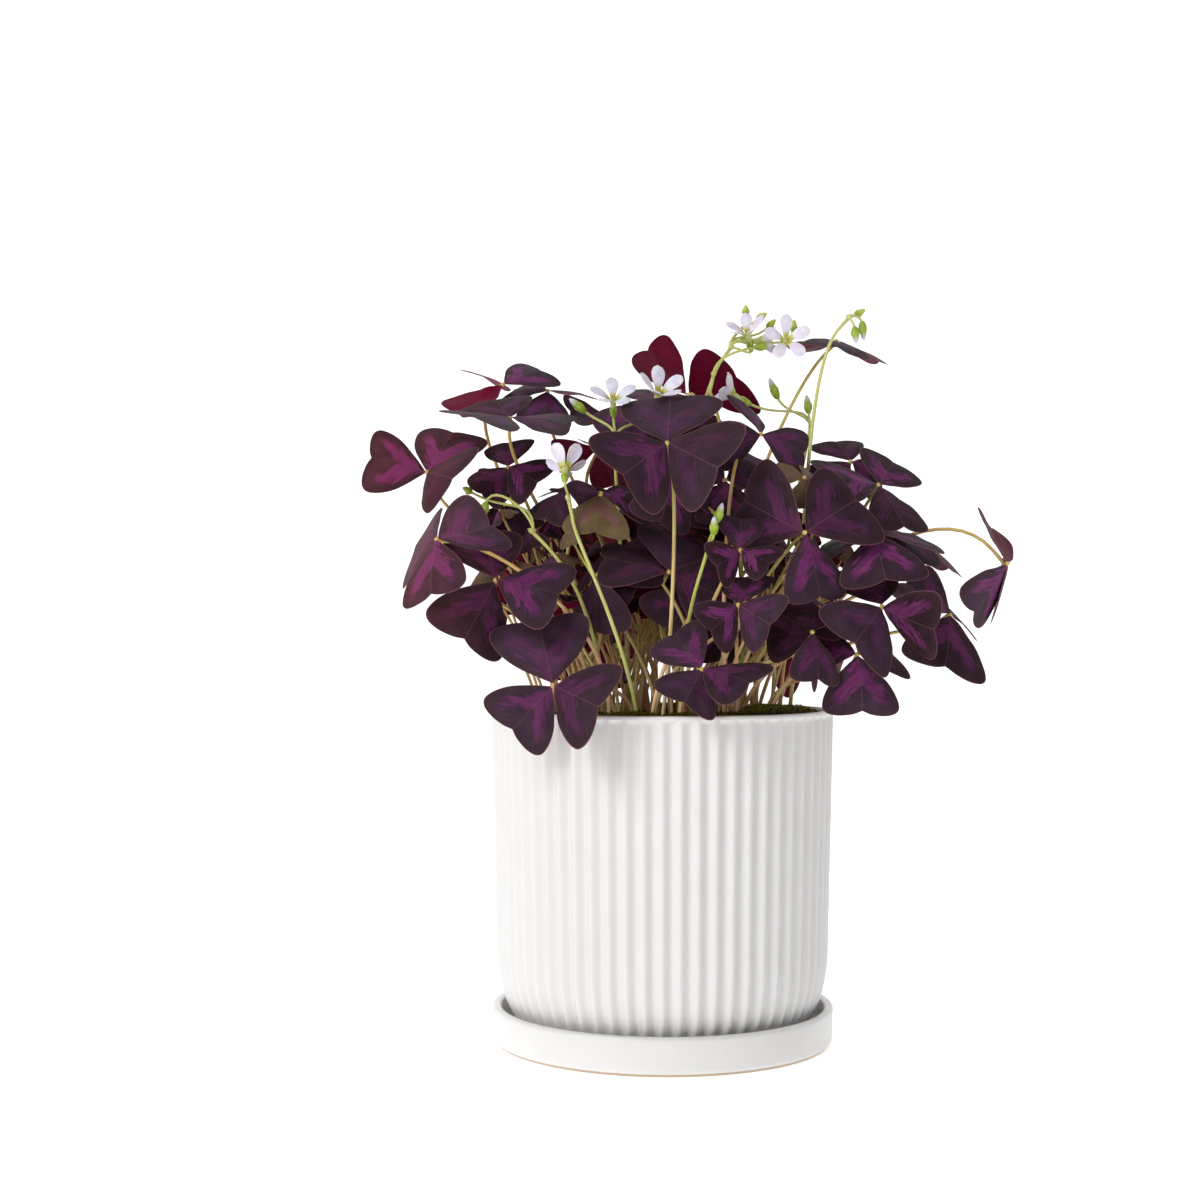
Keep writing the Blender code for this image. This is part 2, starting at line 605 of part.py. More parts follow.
def flower_head(fork, lean, blooms, buds, shift, swell=0.0):
    """All solids above a fork: (green solids, bloom solid lists), moved by a depth shift."""
    start = shifted_spot(spot(*(value * MM for value in fork)), shift)
    root = start - facing(*lean) * FORK_SINK
    green = []
    white = []
    for across, height, depth, azimuth, tilt, opening, size in blooms:
        centre = shifted_spot(spot(across * MM, height * MM, depth * MM), shift)
        axis = facing(azimuth, tilt)
        foot = centre - axis * (THROAT_LENGTH * size + 4.0 * MM)
        green.append(cup_solid(centre, axis, size, swell))
        green.append(pedicel_solid(root, foot, axis, swell))
        white.append(bloom_solids(centre, axis, opening, size, swell))
    for across, height, depth, azimuth, tilt, length in buds:
        centre = shifted_spot(spot(across * MM, height * MM, depth * MM), shift)
        axis = facing(azimuth, tilt)
        green.append(bud_solid(centre, axis, length, swell))
        green.append(pedicel_solid(root, centre - axis * 0.5 * length * MM, axis, swell))
    return start, green, white


# Turning and joining solids into objects
def clear_scene():
    for item in list(bpy.data.objects):
        bpy.data.objects.remove(item)


def material(name, colour, roughness):
    made = bpy.data.materials.new(name)
    made.use_nodes = True
    shader = made.node_tree.nodes["Principled BSDF"]
    shader.inputs["Base Color"].default_value = (*colour, 1.0)
    shader.inputs["Roughness"].default_value = roughness
    made.diffuse_color = (*colour, 1.0)
    return made


def mesh_object(name, points, faces, finish):
    mesh = bpy.data.meshes.new(name)
    mesh.from_pydata([tuple(point) for point in points], [], faces)
    mesh.materials.append(finish)
    mesh.validate()
    made = bpy.data.objects.new(name, mesh)
    bpy.context.collection.objects.link(made)
    return made


def fused(name, solids, finish):
    """One object from several solids, by a single Boolean union that is applied."""
    body = mesh_object(name, *solids[0], finish)
    helpers = bpy.data.collections.new(name + "_pieces")
    bpy.context.scene.collection.children.link(helpers)
    for index, (points, faces) in enumerate(solids[1:]):
        piece = mesh_object(f"{name}_piece_{index}", points, faces, finish)
        bpy.context.collection.objects.unlink(piece)
        helpers.objects.link(piece)
    union = body.modifiers.new("union", "BOOLEAN")
    union.operation = "UNION"
    union.operand_type = "COLLECTION"
    union.collection = helpers
    union.solver = "EXACT"
    union.use_self = True
    bpy.context.view_layer.update()
    ready = body.evaluated_get(bpy.context.evaluated_depsgraph_get())
    mesh = bpy.data.meshes.new_from_object(ready)
    body.modifiers.clear()
    body.data = mesh
    mesh.name = name
    for piece in list(helpers.objects):
        bpy.data.objects.remove(piece)
    bpy.data.collections.remove(helpers)
    return body


def ring(radius, height, count, start=0.0):
    return [(radius * math.cos(start + math.tau * k / count),
             radius * math.sin(start + math.tau * k / count), height) for k in range(count)]


def bridge(first, first_count, second, second_count):
    """Faces between two rings of points, where the second may have fewer points."""
    faces = []
    per = first_count // second_count
    for k in range(second_count):
        for step in range(per):
            here = first + (k * per + step) % first_count
            beside = first + (k * per + step + 1) % first_count
            if step == per - 1:
                faces.append((here, beside, second + (k + 1) % second_count, second + k))
            else:
                faces.append((here, beside, second + k))
    return faces


def corner_radius(height):
    """Outside radius of the pot at a height: a rounded bottom corner, then a straight taper."""
    if height < POT_SHOULDER:
        sine = (POT_SHOULDER - height) / (POT_SHOULDER - POT_BASE)
        return POT_SHOULDER_RADIUS - POT_CORNER_REACH * (1 - math.sqrt(max(0.0, 1 - sine * sine)))
    share = (height - POT_SHOULDER) / (POT_TOP - POT_SHOULDER)
    return POT_SHOULDER_RADIUS + share * (POT_RIM_RADIUS - POT_SHOULDER_RADIUS)


def build_pot(finish):
    per_flute = 2
    count = FLUTES * per_flute
    points = []
    outer_heights = (POT_BASE + 1.5 * MM, POT_BASE + 12 * MM, POT_SHOULDER, POT_TOP - LIP_HEIGHT)
    for height in outer_heights:
        radius = corner_radius(height)
        for k in range(count):
            depth = 0.0 if k % per_flute else FLUTE_DEPTH
            angle = math.tau * k / count
            points.append(((radius - depth) * math.cos(angle), (radius - depth) * math.sin(angle), height))
    lip_low = len(points)
    points += ring(POT_RIM_RADIUS, POT_TOP - LIP_HEIGHT + 1.2 * MM, FLUTES)
    lip_top = len(points)
    points += ring(POT_RIM_RADIUS - 0.5 * MM, POT_TOP, FLUTES)
    inner_top = len(points)
    points += ring(POT_RIM_RADIUS - POT_WALL, POT_TOP, FLUTES)
    inner_low = len(points)
    points += ring(corner_radius(POT_SHOULDER) - POT_WALL, POT_SHOULDER, FLUTES)
    inner_foot = len(points)
    points += ring(POT_BASE_RADIUS - POT_WALL + 3 * MM, POT_BASE + POT_FLOOR, FLUTES)
    faces = []
    for level in range(len(outer_heights) - 1):
        faces += bridge(level * count, count, (level + 1) * count, count)
    faces += bridge((len(outer_heights) - 1) * count, count, lip_low, FLUTES)
    faces += bridge(lip_low, FLUTES, lip_top, FLUTES)
    faces += bridge(lip_top, FLUTES, inner_top, FLUTES)
    faces += bridge(inner_top, FLUTES, inner_low, FLUTES)
    faces += bridge(inner_low, FLUTES, inner_foot, FLUTES)
    foot = len(points)
    points += ring(POT_BASE_RADIUS, POT_BASE, FLUTES)
    faces += [tuple(reversed(face)) for face in bridge(0, count, foot, FLUTES)]
    faces.append(tuple(reversed(range(foot, foot + FLUTES))))
    faces.append(tuple(range(inner_foot, inner_foot + FLUTES)))
    pot = mesh_object("pot", points, faces, finish)
    cutter_points, cutter_faces = tube([np.array((0, 0, POT_BASE - 5 * MM)),
                                        np.array((0, 0, POT_BASE + POT_FLOOR + 5 * MM))],
                                       [DRAIN_RADIUS] * 2, DRAIN_SIDES)
    drill(pot, [(cutter_points, cutter_faces)], finish)
    return pot


def drill(body, cutters, finish):
    """Cuts plain holes and applies the cut."""
    helpers = bpy.data.collections.new("drills")
    bpy.context.scene.collection.children.link(helpers)
    for index, (points, faces) in enumerate(cutters):
        piece = mesh_object(f"drill_{index}", points, faces, finish)
        bpy.context.collection.objects.unlink(piece)
        helpers.objects.link(piece)
    cut = body.modifiers.new("holes", "BOOLEAN")
    cut.operation = "DIFFERENCE"
    cut.operand_type = "COLLECTION"
    cut.collection = helpers
    cut.solver = "EXACT"
    bpy.context.view_layer.update()
    mesh = bpy.data.meshes.new_from_object(
        body.evaluated_get(bpy.context.evaluated_depsgraph_get()))
    body.modifiers.clear()
    body.data = mesh
    for piece in list(helpers.objects):
        bpy.data.objects.remove(piece)
    bpy.data.collections.remove(helpers)


def turned_solid(name, profile, sides, finish):
    """A closed turned solid from (radius, height) pairs, whose ends lie on the axis side."""
    points = []
    for radius, height in profile:
        points += ring(radius, height, sides)
    faces = []
    for level in range(len(profile) - 1):
        faces += bridge(level * sides, sides, (level + 1) * sides, sides)
    last = (len(profile) - 1) * sides
    faces.append(tuple(reversed(range(sides))))
    faces.append(tuple(range(last, last + sides)))
    return mesh_object(name, points, faces, finish)


def build_saucer(finish):
    inner = SAUCER_RADIUS - SAUCER_WALL
    profile = ((SAUCER_FOOT_RADIUS, 0.0), (SAUCER_RADIUS - 0.4 * MM, 2.2 * MM),
               (SAUCER_RADIUS, SAUCER_HEIGHT - 2.0 * MM), (SAUCER_RADIUS - 1.0 * MM, SAUCER_HEIGHT),
               (inner + 1.0 * MM, SAUCER_HEIGHT), (inner, SAUCER_HEIGHT - 2.0 * MM),
               (inner - 2.5 * MM, SAUCER_FLOOR))
    return turned_solid("saucer", profile, SAUCER_SIDES, finish)


def build_soil(holes, finish):
    wall_gap = POT_WALL + 0.6 * MM
    profile = ((POT_BASE_RADIUS - wall_gap + 1 * MM, POT_BASE + POT_FLOOR + GAP),
               (corner_radius(POT_SHOULDER) - wall_gap, POT_SHOULDER + 1 * MM),
               (corner_radius(SOIL_TOP) - wall_gap, SOIL_TOP))
    soil = turned_solid("soil", profile, SOIL_SIDES, finish)
    drill(soil, holes, finish)
    return soil


clear_scene()
glaze = material("white glaze", (0.86, 0.85, 0.83), 0.25)
earth = material("dark potting soil", (0.045, 0.032, 0.022), 0.95)
purple = material("purple leaf", (0.10, 0.03, 0.07), 0.5)
straw = material("straw stalk", (0.55, 0.50, 0.22), 0.5)
lilac = material("pale lilac petal", (0.86, 0.84, 0.95), 0.5)

build_saucer(glaze)
pot = build_pot(glaze)
pot_tree = tree_of([(np.array([tuple(v.co) for v in pot.data.vertices]),
                     [tuple(p.vertices) for p in pot.data.polygons])])
soil_cap = turned_solid("soil_cap", ((75 * MM, SOIL_TOP - 5 * MM), (75 * MM, SOIL_TOP)), 24, earth)
soil_tree = tree_of([(np.array([tuple(v.co) for v in soil_cap.data.vertices]),
                      [tuple(p.vertices) for p in soil_cap.data.polygons])])
bpy.data.objects.remove(soil_cap)

# Set every blade clear of the pot, of the soil and of the blades set before it
walls = [pot_tree, soil_tree]
bodies = []
leaves = []
for name, place, size, tips_list in LEAVES:
    hub, leaflets = seen_leaf(place, size, tips_list)
    hub = set_leaf(hub, leaflets, walls + [tree_of([solid for body in bodies for solid in body])])
    bodies.append([leaf_blade(hub, leaflets), neck_solid(hub, leaflets)])
    leaves.append((name, hub, leaflets))

# Flower heads next, each slid clear in the same way
heads = []
for name, fork, lean, blooms, buds in FLOWER_STEMS:
    others = tree_of([solid for body in bodies for solid in body])
    for shift in DEPTH_SHIFTS:
        start, green, white = flower_head(fork, lean, blooms, buds, shift, 0.45 * MM)
        if is_clear([solid for bloom in white for solid in bloom] + green, walls + [others]):
            break
    start, green, white = flower_head(fork, lean, blooms, buds, shift)
    heads.append((name, start, facing(*lean), green, white))
    bodies.append([solid for bloom in white for solid in bloom] + green)

# Inner leaves stand between the others; their stalks come last
draw = random.Random(FAR_SEED)


def drawn_leaves(row):
    """Leaves drawn one after another from a row's ranges, all within the dome of the clump."""
    count, azimuths, heights, distances, tilts, sizes = row
    for attempt in range(FAR_DRAWS):
        azimuth = math.radians(draw.uniform(*azimuths))
        outward = np.array((math.sin(azimuth), -math.cos(azimuth), 0.0))
        hub = outward * draw.uniform(*distances) * MM + np.array((5 * MM, 0, draw.uniform(*heights) * MM))
        hub, leaflets = tilted_leaf(hub, azimuth + draw.uniform(-0.5, 0.5),
                                    math.radians(draw.uniform(*tilts)),
                                    draw.uniform(0, math.tau / 3), draw.uniform(*sizes) * MM)
        if in_dome(hub, leaflets):
            yield hub, leaflets


inner = []
for row in INNER_ROWS:
    left = row[0]
    others = tree_of([solid for body in bodies for solid in body])
    for hub, leaflets in drawn_leaves(row):
        if left and is_clear(swollen_leaf(hub, leaflets), walls + [others]):
            inner.append((hub, leaflets, len(bodies)))
            bodies.append([leaf_blade(hub, leaflets), neck_solid(hub, leaflets)])
            others = tree_of([solid for body in bodies for solid in body])
            left -= 1

# Root places: a sunflower spiral over the soil, clear of the far tufts' crowns
slots = []
for k in range(ROOT_PLACES):
    turn = k * math.pi * (3 - math.sqrt(5))
    reach = ROOT_SPREAD * math.sqrt((k + 0.5) / ROOT_PLACES)
    slot = np.array((reach * math.cos(turn), reach * math.sin(turn), SOIL_TOP - STEM_SINK))
    if all(math.hypot(slot[0] - x * MM, slot[1] - y * MM) > CROWN_RADIUS + 3.2 * MM for x, y in CROWNS):
        slots.append(slot)

# Route the stalks; those that find no way go first in the next round
stems = [(start, lean, len(leaves) + index, 0.45) for index, (name, start, lean, green, white)
         in enumerate(heads)]
stems += [(leaf_foot(hub, leaflets), leaf_axis(leaflets), index, 0.35)
          for index, (name, hub, leaflets) in enumerate(leaves)]
queue = list(range(len(stems)))
for attempt in range(ROUTE_ROUNDS):
    free = list(slots)
    routes = {}
    for item in queue:
        top, axis, own, lean_in = stems[item]
        solids = [solid for index, body in enumerate(bodies) if index != own for solid in body]
        solids += [stalk_solid(route) for route in routes.values()]
        found = find_route(top, axis, free, lean_in, [pot_tree, tree_of(solids)])
        if found:
            free.pop(found[0])
            routes[item] = found[1]
    failed = [item for item in queue if item not in routes]
    if not failed:
        break
    queue = failed + [item for item in queue if item in routes]
if failed:
    raise ValueError(f"{len(failed)} stalks find no clear way")


def hole_at(point, radius, sides):
    top = np.array((point[0], point[1], SOIL_TOP + 3 * MM))
    return tube([np.array((point[0], point[1], point[2] - GAP)), top], [radius] * 2, sides)


holes = [hole_at(route[0], HOLE_RADIUS, HOLE_SIDES) for route in routes.values()]

# Tufts: the stalks of the inner leaves, then far leaves drawn until each row has its count
fixed_stalks = [stalk_solid(route) for route in routes.values()]
tufts = {crown: [] for crown in CROWNS}
room = math.ceil(sum(row[0] for row in INNER_ROWS + FAR_ROWS) / len(CROWNS))


def join_tuft(hub, leaflets, own):
    """Grows a leaf from the nearest crown with room, if a clear way is found for its stalk."""
    crowns = [crown for crown in CROWNS if len(tufts[crown]) < room]
    crown = min(crowns, key=lambda c: math.hypot(hub[0] / MM * 0.4 - c[0], hub[1] / MM * 0.4 - c[1]))
    turn = math.tau * len(tufts[crown]) / room
    base = np.array((crown[0] * MM + CROWN_STALK_RING * math.cos(turn),
                     crown[1] * MM + CROWN_STALK_RING * math.sin(turn),
                     SOIL_TOP + CROWN_RISE - 2.5 * MM))
    others = [solid for index, body in enumerate(bodies) if index != own for solid in body]
    others += [stalk for other in CROWNS if other != crown for stalk, blade in tufts[other]]
    found = find_route(leaf_foot(hub, leaflets), leaf_axis(leaflets), [base], 0.4,
                       [pot_tree, tree_of(others + fixed_stalks)])
    if found:
        tufts[crown].append((stalk_solid(found[1]), leaf_blade(hub, leaflets)))
    return bool(found)


for hub, leaflets, own in inner:
    if not join_tuft(hub, leaflets, own):
        bodies[own] = []
for row in FAR_ROWS:
    left = row[0]
    for hub, leaflets in drawn_leaves(row):
        if left == 0:
            continue
        others = [solid for body in bodies for solid in body] + fixed_stalks
        others += [stalk for tuft in tufts.values() for stalk, blade in tuft]
        if is_clear(swollen_leaf(hub, leaflets), walls + [tree_of(others)]):
            bodies.append([leaf_blade(hub, leaflets), neck_solid(hub, leaflets)])
            if join_tuft(hub, leaflets, len(bodies) - 1):
                left -= 1
            else:
                bodies.pop()

for index, (name, start, lean, green, white) in enumerate(heads):
    route = routes[index]
    scape = tube(route, [SCAPE_RADIUS] * (len(route) - 1) + [SCAPE_RADIUS * 1.2], STALK_SIDES)
    fused(name, [scape] + green, straw)
    for number, bloom in enumerate(white):
        fused(name.replace("flower_stem", "bloom") + f"_{number + 1}", bloom, lilac)

for index, (name, hub, leaflets) in enumerate(leaves):
    blade = knobbed_blade(hub, leaflets) if name in KNOBBED_LEAVES else [leaf_blade(hub, leaflets)]
    fused(name, [stalk_solid(routes[len(heads) + index])] + blade, purple)

for number, crown in enumerate(CROWNS):
    middle = np.array((crown[0] * MM, crown[1] * MM, SOIL_TOP - STEM_SINK))
    top = middle + np.array((0, 0, STEM_SINK + CROWN_RISE))
    solids = [tube([middle, top], [CROWN_RADIUS] * 2, CROWN_SIDES)]
    solids += [solid for pair in tufts[crown] for solid in pair]
    holes.append(hole_at(middle, CROWN_RADIUS + GAP, CROWN_SIDES))
    fused(f"leaf_tuft_{number + 1}", solids, purple)

build_soil(holes, earth)
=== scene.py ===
# Potted purple shamrock: a clump of three-leafleted purple leaves with pale flowers, in a
# fluted white pot that stands in its saucer. Metres, +Z up, and -Y faces the viewer.

import math
import random
from functools import partial

import bpy
import numpy as np
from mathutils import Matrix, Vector, noise
from mathutils.kdtree import KDTree


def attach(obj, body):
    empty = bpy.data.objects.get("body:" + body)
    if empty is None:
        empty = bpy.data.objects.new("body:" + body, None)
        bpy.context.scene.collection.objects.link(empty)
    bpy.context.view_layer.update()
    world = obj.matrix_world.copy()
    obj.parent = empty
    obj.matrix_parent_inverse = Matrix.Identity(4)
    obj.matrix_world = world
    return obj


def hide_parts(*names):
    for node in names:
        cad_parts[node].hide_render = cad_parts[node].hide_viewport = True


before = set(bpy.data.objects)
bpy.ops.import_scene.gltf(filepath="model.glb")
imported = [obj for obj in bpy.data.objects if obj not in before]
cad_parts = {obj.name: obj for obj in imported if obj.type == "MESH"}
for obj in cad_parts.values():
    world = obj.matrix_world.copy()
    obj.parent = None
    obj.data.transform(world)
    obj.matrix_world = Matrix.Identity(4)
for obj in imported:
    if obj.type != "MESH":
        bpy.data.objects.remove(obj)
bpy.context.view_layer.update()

# The saucer
# A shallow round dish of white stoneware, pressed in a mould and glazed. The glaze stops a
# millimetre above the table, where the bare clay of the foot shows as a thin warm line.
MM = 0.001
SAUCER_RADIUS = 79.4 * MM
SAUCER_WALL = 4.2 * MM
SAUCER_HEIGHT = 17.0 * MM
SAUCER_FLOOR = 4.7 * MM
SAUCER_FOOT_RADIUS = 77.6 * MM
SAUCER_SIDES = 144
GLAZE_WHITE = "E9E8E7"
GLAZE_THIN = "E3E1DF"
BARE_CLAY = "B9A48A"
FOOT_LINE = 1.1 * MM
# Settings of a node that mixes two colours
COLOUR = {"out": 2, "data_type": "RGBA"}


def linear(code):
    """An sRGB hex colour as the linear colour that a shader takes."""
    channels = [int(code[k:k + 2], 16) / 255 for k in (0, 2, 4)]
    return tuple(c / 12.92 if c <= 0.04045 else ((c + 0.055) / 1.055) ** 2.4 for c in channels) + (1.0,)


def add(tree, kind, *values, out=0, **settings):
    """Adds a shader node with its settings and gives back one of its outputs. The values or links
    of its inputs come in their order, or as a dictionary, and a hex code is a colour."""
    made = tree.nodes.new("ShaderNode" + kind)
    for key, value in settings.items():
        setattr(made, key, value)
    by_name = values and isinstance(values[0], dict)
    for key, value in values[0].items() if by_name else enumerate(values):
        if isinstance(value, bpy.types.NodeSocket):
            tree.links.new(value, made.inputs[key])
        else:
            made.inputs[key].default_value = linear(value) if isinstance(value, str) else value
    return made.outputs[out]


def finish(name, values):
    """A new material with values on its shader's sockets, and add() for its own nodes."""
    made = bpy.data.materials.new(name)
    made.use_nodes = True
    sockets = made.node_tree.nodes["Principled BSDF"].inputs
    for key, value in values.items():
        sockets[key].default_value = linear(value) if isinstance(value, str) else value
    return made, partial(add, made.node_tree)


def coat(made, colour, relief, strength, depth, gloss=None):
    """Links a material's colour, the relief of its surface and its gloss to its shader."""
    tree = made.node_tree
    bump = add(tree, "Bump", {"Height": relief, "Strength": strength, "Distance": depth})
    for key, value in (("Base Color", colour), ("Normal", bump), ("Roughness", gloss)):
        if value is not None:
            tree.links.new(value, tree.nodes["Principled BSDF"].inputs[key])


def rounded(corners, steps=5):
    """An outline from (radius, height, rounding) corners, each turned into a small arc."""
    outline = []
    for k, (x, z, rounding) in enumerate(corners):
        here = np.array((x, z))
        if rounding == 0:
            outline.append(here)
            continue
        before = np.array(corners[k - 1][:2]) - here
        after = np.array(corners[(k + 1) % len(corners)][:2]) - here
        start = here + before / np.linalg.norm(before) * rounding
        end = here + after / np.linalg.norm(after) * rounding
        for t in np.linspace(0, 1, steps):
            outline.append((1 - t) ** 2 * start + 2 * (1 - t) * t * here + t ** 2 * end)
    return outline


def band(low, high, count, outward=True):
    """Faces between two rings of points that start at low and high, facing out or in."""
    faces = [(low + k, low + (k + 1) % count, high + (k + 1) % count, high + k) for k in range(count)]
    return faces if outward else [(a, d, c, b) for a, b, c, d in faces]


def shaped(name, points, faces, finishes):
    """A smooth object from its points, faces and materials."""
    mesh = bpy.data.meshes.new(name)
    mesh.from_pydata(points, [], faces)
    mesh.shade_smooth()
    for made in finishes:
        mesh.materials.append(made)
    body = bpy.data.objects.new(name, mesh)
    bpy.context.collection.objects.link(body)
    return body


def turned_body(name, outline, sides, closed, cut=None):
    """A glazed turned body from an outline; cut(angles, radius, height) is taken off the radius."""
    angles = np.arange(sides) * math.tau / sides
    points = []
    for radius, height in outline:
        reach = radius - (cut(angles, radius, height) if cut else 0 * angles)
        points.append(np.stack((reach * np.cos(angles), reach * np.sin(angles),
                                np.full(sides, height)), axis=1))
    levels = len(outline)
    faces = []
    for level in range(levels if closed else levels - 1):
        faces += band(level * sides, (level + 1) % levels * sides, sides)
    if not closed:
        faces.append(tuple(reversed(range(sides))))
        faces.append(tuple(range((levels - 1) * sides, levels * sides)))
    return shaped(name, np.vstack(points).tolist(), faces, [glaze])


# White satin glaze on stoneware: bright and even, with a soft broad sheen and a barely uneven skin
glaze, put = finish("white satin glaze on stoneware",
                    {"IOR": 1.5, "Coat Weight": 0.25, "Coat Roughness": 0.25})
place = put("TexCoord", out=3)
mottle = put("TexNoise", {"Vector": place, "Scale": 1 / (18 * MM), "Detail": 3.0})
white = put("Mix", {0: mottle, 6: GLAZE_WHITE, 7: GLAZE_THIN}, **COLOUR)
height = put("SeparateXYZ", place, out=2)
glazed = put("MapRange", height, FOOT_LINE, FOOT_LINE + 0.4 * MM)
clay = put("Mix", {0: glazed, 6: BARE_CLAY, 7: white}, **COLOUR)
gloss = put("MapRange", mottle, 0.3, 0.7, 0.36, 0.46)
ripple = put("TexNoise", {"Vector": place, "Scale": 1 / (2.5 * MM), "Detail": 2.0})
coat(glaze, clay, ripple, 0.12, 0.1 * MM, gloss)

inner = SAUCER_RADIUS - SAUCER_WALL
saucer = turned_body("glazed_saucer", rounded((
    (0.5 * MM, 0.0, 0), (SAUCER_FOOT_RADIUS, 0.0, 0.5 * MM),
    (SAUCER_RADIUS - 0.4 * MM, 2.2 * MM, 1.2 * MM), (SAUCER_RADIUS, SAUCER_HEIGHT, 1.7 * MM),
    (inner, SAUCER_HEIGHT, 1.6 * MM), (inner - 1.0 * MM, SAUCER_FLOOR, 3.0 * MM),
    (0.5 * MM, SAUCER_FLOOR, 0))), SAUCER_SIDES, False)
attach(saucer, "root")
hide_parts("saucer")

# The pot
# A slip-cast stoneware cylinder under the same white glaze. Sixty-two upright ribs run round it
# from the rounded foot to a plain lip, and the floor has one drainage hole.
POT_RIM_RADIUS = 80.0 * MM
POT_TOP = 153.9 * MM
POT_BASE = 5.0 * MM
POT_BASE_RADIUS = 60.0 * MM
POT_SHOULDER = 45.0 * MM
POT_SHOULDER_RADIUS = 77.2 * MM
POT_CORNER_REACH = 18.0 * MM
POT_WALL = 5.0 * MM
POT_FLOOR = 6.0 * MM
LIP_HEIGHT = 1.9 * MM
FLUTES = 62
FLUTE_DEPTH = 2.4 * MM
FLUTED_FROM = 50.0 * MM
FLUTE_RUN_OUT = 1.6 * MM
POINTS_PER_FLUTE = 14
DRAIN_RADIUS = 8.0 * MM


def corner_radius(height):
    """Outside radius of the pot at a height: a rounded bottom corner, then a straight taper."""
    if height < POT_SHOULDER:
        sine = (POT_SHOULDER - height) / (POT_SHOULDER - POT_BASE)
        return POT_SHOULDER_RADIUS - POT_CORNER_REACH * (1 - math.sqrt(max(0.0, 1 - sine * sine)))
    share = (height - POT_SHOULDER) / (POT_TOP - POT_SHOULDER)
    return POT_SHOULDER_RADIUS + share * (POT_RIM_RADIUS - POT_SHOULDER_RADIUS)


def flute_cut(angles, radius, height):
    """Rounded ribs with rounded grooves between them, which run out under the lip. The hollow
    inside and the middle of the underside are plain."""
    if radius < FLUTED_FROM:
        return 0 * angles
    fade = min(1.0, max(0.0, (POT_TOP - LIP_HEIGHT - height) / FLUTE_RUN_OUT))
    return FLUTE_DEPTH * math.sqrt(fade) * (0.5 + 0.5 * np.cos(FLUTES * angles))


outside = [(corner_radius(h), h) for h in
           POT_BASE + (POT_SHOULDER - POT_BASE) * (1 - np.cos(np.linspace(0.1, math.pi / 2, 14)))]
outside += [(corner_radius(h), h) for h in np.linspace(60 * MM, POT_TOP - LIP_HEIGHT - 2.5 * MM, 6)]
outside += [(corner_radius(h), h)
            for h in POT_TOP - LIP_HEIGHT - np.array((1.6, 1.1, 0.6, 0.25, 0.0)) * MM]
lip = [tuple(point) for point in rounded((
    (POT_RIM_RADIUS, POT_TOP - LIP_HEIGHT + 0.3 * MM, 0), (POT_RIM_RADIUS, POT_TOP, 0.9 * MM),
    (POT_RIM_RADIUS - 3.4 * MM, POT_TOP, 1.2 * MM), (POT_RIM_RADIUS - POT_WALL, POT_SHOULDER, 0)))]
hollow = [(POT_SHOULDER_RADIUS - POT_WALL - 8 * MM, 22 * MM), (48 * MM, POT_BASE + POT_FLOOR),
          (DRAIN_RADIUS, POT_BASE + POT_FLOOR), (DRAIN_RADIUS, POT_BASE),
          (POT_BASE_RADIUS - 4 * MM, POT_BASE)]
pot = turned_body("glazed_pot", outside + lip + hollow, FLUTES * POINTS_PER_FLUTE, True, flute_cut)
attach(pot, "root")
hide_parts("pot")

# The soil
# Dark peat with a loose crumbly top, filled to just under the lip and banked a little higher
# at the front and right. The stalks stand in it.
SOIL_TOP = 150.0 * MM
SOIL_RADIUS = corner_radius(SOIL_TOP) - POT_WALL - 0.6 * MM
SOIL_RINGS = 70
SOIL_SIDES = 220
CRUMBS = 900
CRUMB_SIZES = (0.5, 1.5)
CRUMB_SEED = 4
# Corners and faces of a crumb of peat
CRUMB_CORNERS = ((1, 0, 0), (0, 1, 0), (-1, 0, 0), (0, -1, 0), (0, 0, 1), (0, 0, -1))
CRUMB_FACES = ((0, 1, 4), (1, 2, 4), (2, 3, 4), (3, 0, 4), (1, 0, 5), (2, 1, 5), (3, 2, 5), (0, 3, 5))
# Moss cushions: middle across and in depth, reach and height in mm
CUSHIONS = ((47, -46, 15, 8.0), (60, -33, 11, 7.5), (32, -58, 13, 4.5), (12, -64, 16, 4.2),
            (-12, -62, 15, 4.6), (-34, -55, 14, 4.4), (-52, -40, 13, 3.6), (66, -6, 12, 4.0),
            (-64, -8, 14, 3.2), (56, 34, 14, 3.4), (-48, 46, 15, 3.0), (4, 66, 16, 3.2),
            (34, 58, 13, 3.0), (-6, -36, 12, 2.2), (26, -34, 12, 2.6), (-20, -20, 12, 1.8),
            (20, -8, 14, 1.6), (-2, 18, 14, 1.5))


def bank(x, y):
    """Height of the moss cushions over the level soil, in metres."""
    total = 0.0
    for middle, depth, reach, rise in CUSHIONS:
        away = ((x / MM - middle) ** 2 + (y / MM - depth) ** 2) / reach ** 2
        total = max(total, rise * math.exp(-1.1 * away * away))
    return total * MM


def ground(x, y):
    """Height of the soil at a place: level, banked under the moss, with lumps and grit."""
    spot_here = Vector((x, y, 0.0))
    lumps = noise.fractal(spot_here / (9 * MM), 0.9, 2.0, 3) * 0.7 * MM
    grit = noise.noise(spot_here / (1.6 * MM)) * 0.35 * MM
    edge = max(0.0, math.hypot(x, y) / SOIL_RADIUS - 0.95) / 0.05
    return SOIL_TOP - 0.4 * MM + 0.8 * bank(x, y) * (1 - 0.35 * edge) + lumps + grit - 0.8 * MM * edge


def ringed_faces(rings, count):
    """Faces of a sheet made of a middle point and closed rings of points round it."""
    faces = [(0, 1 + k, 1 + (k + 1) % count) for k in range(count)]
    for ring in range(rings - 1):
        faces += band(1 + ring * count, 1 + (ring + 1) * count, count, False)
    return faces


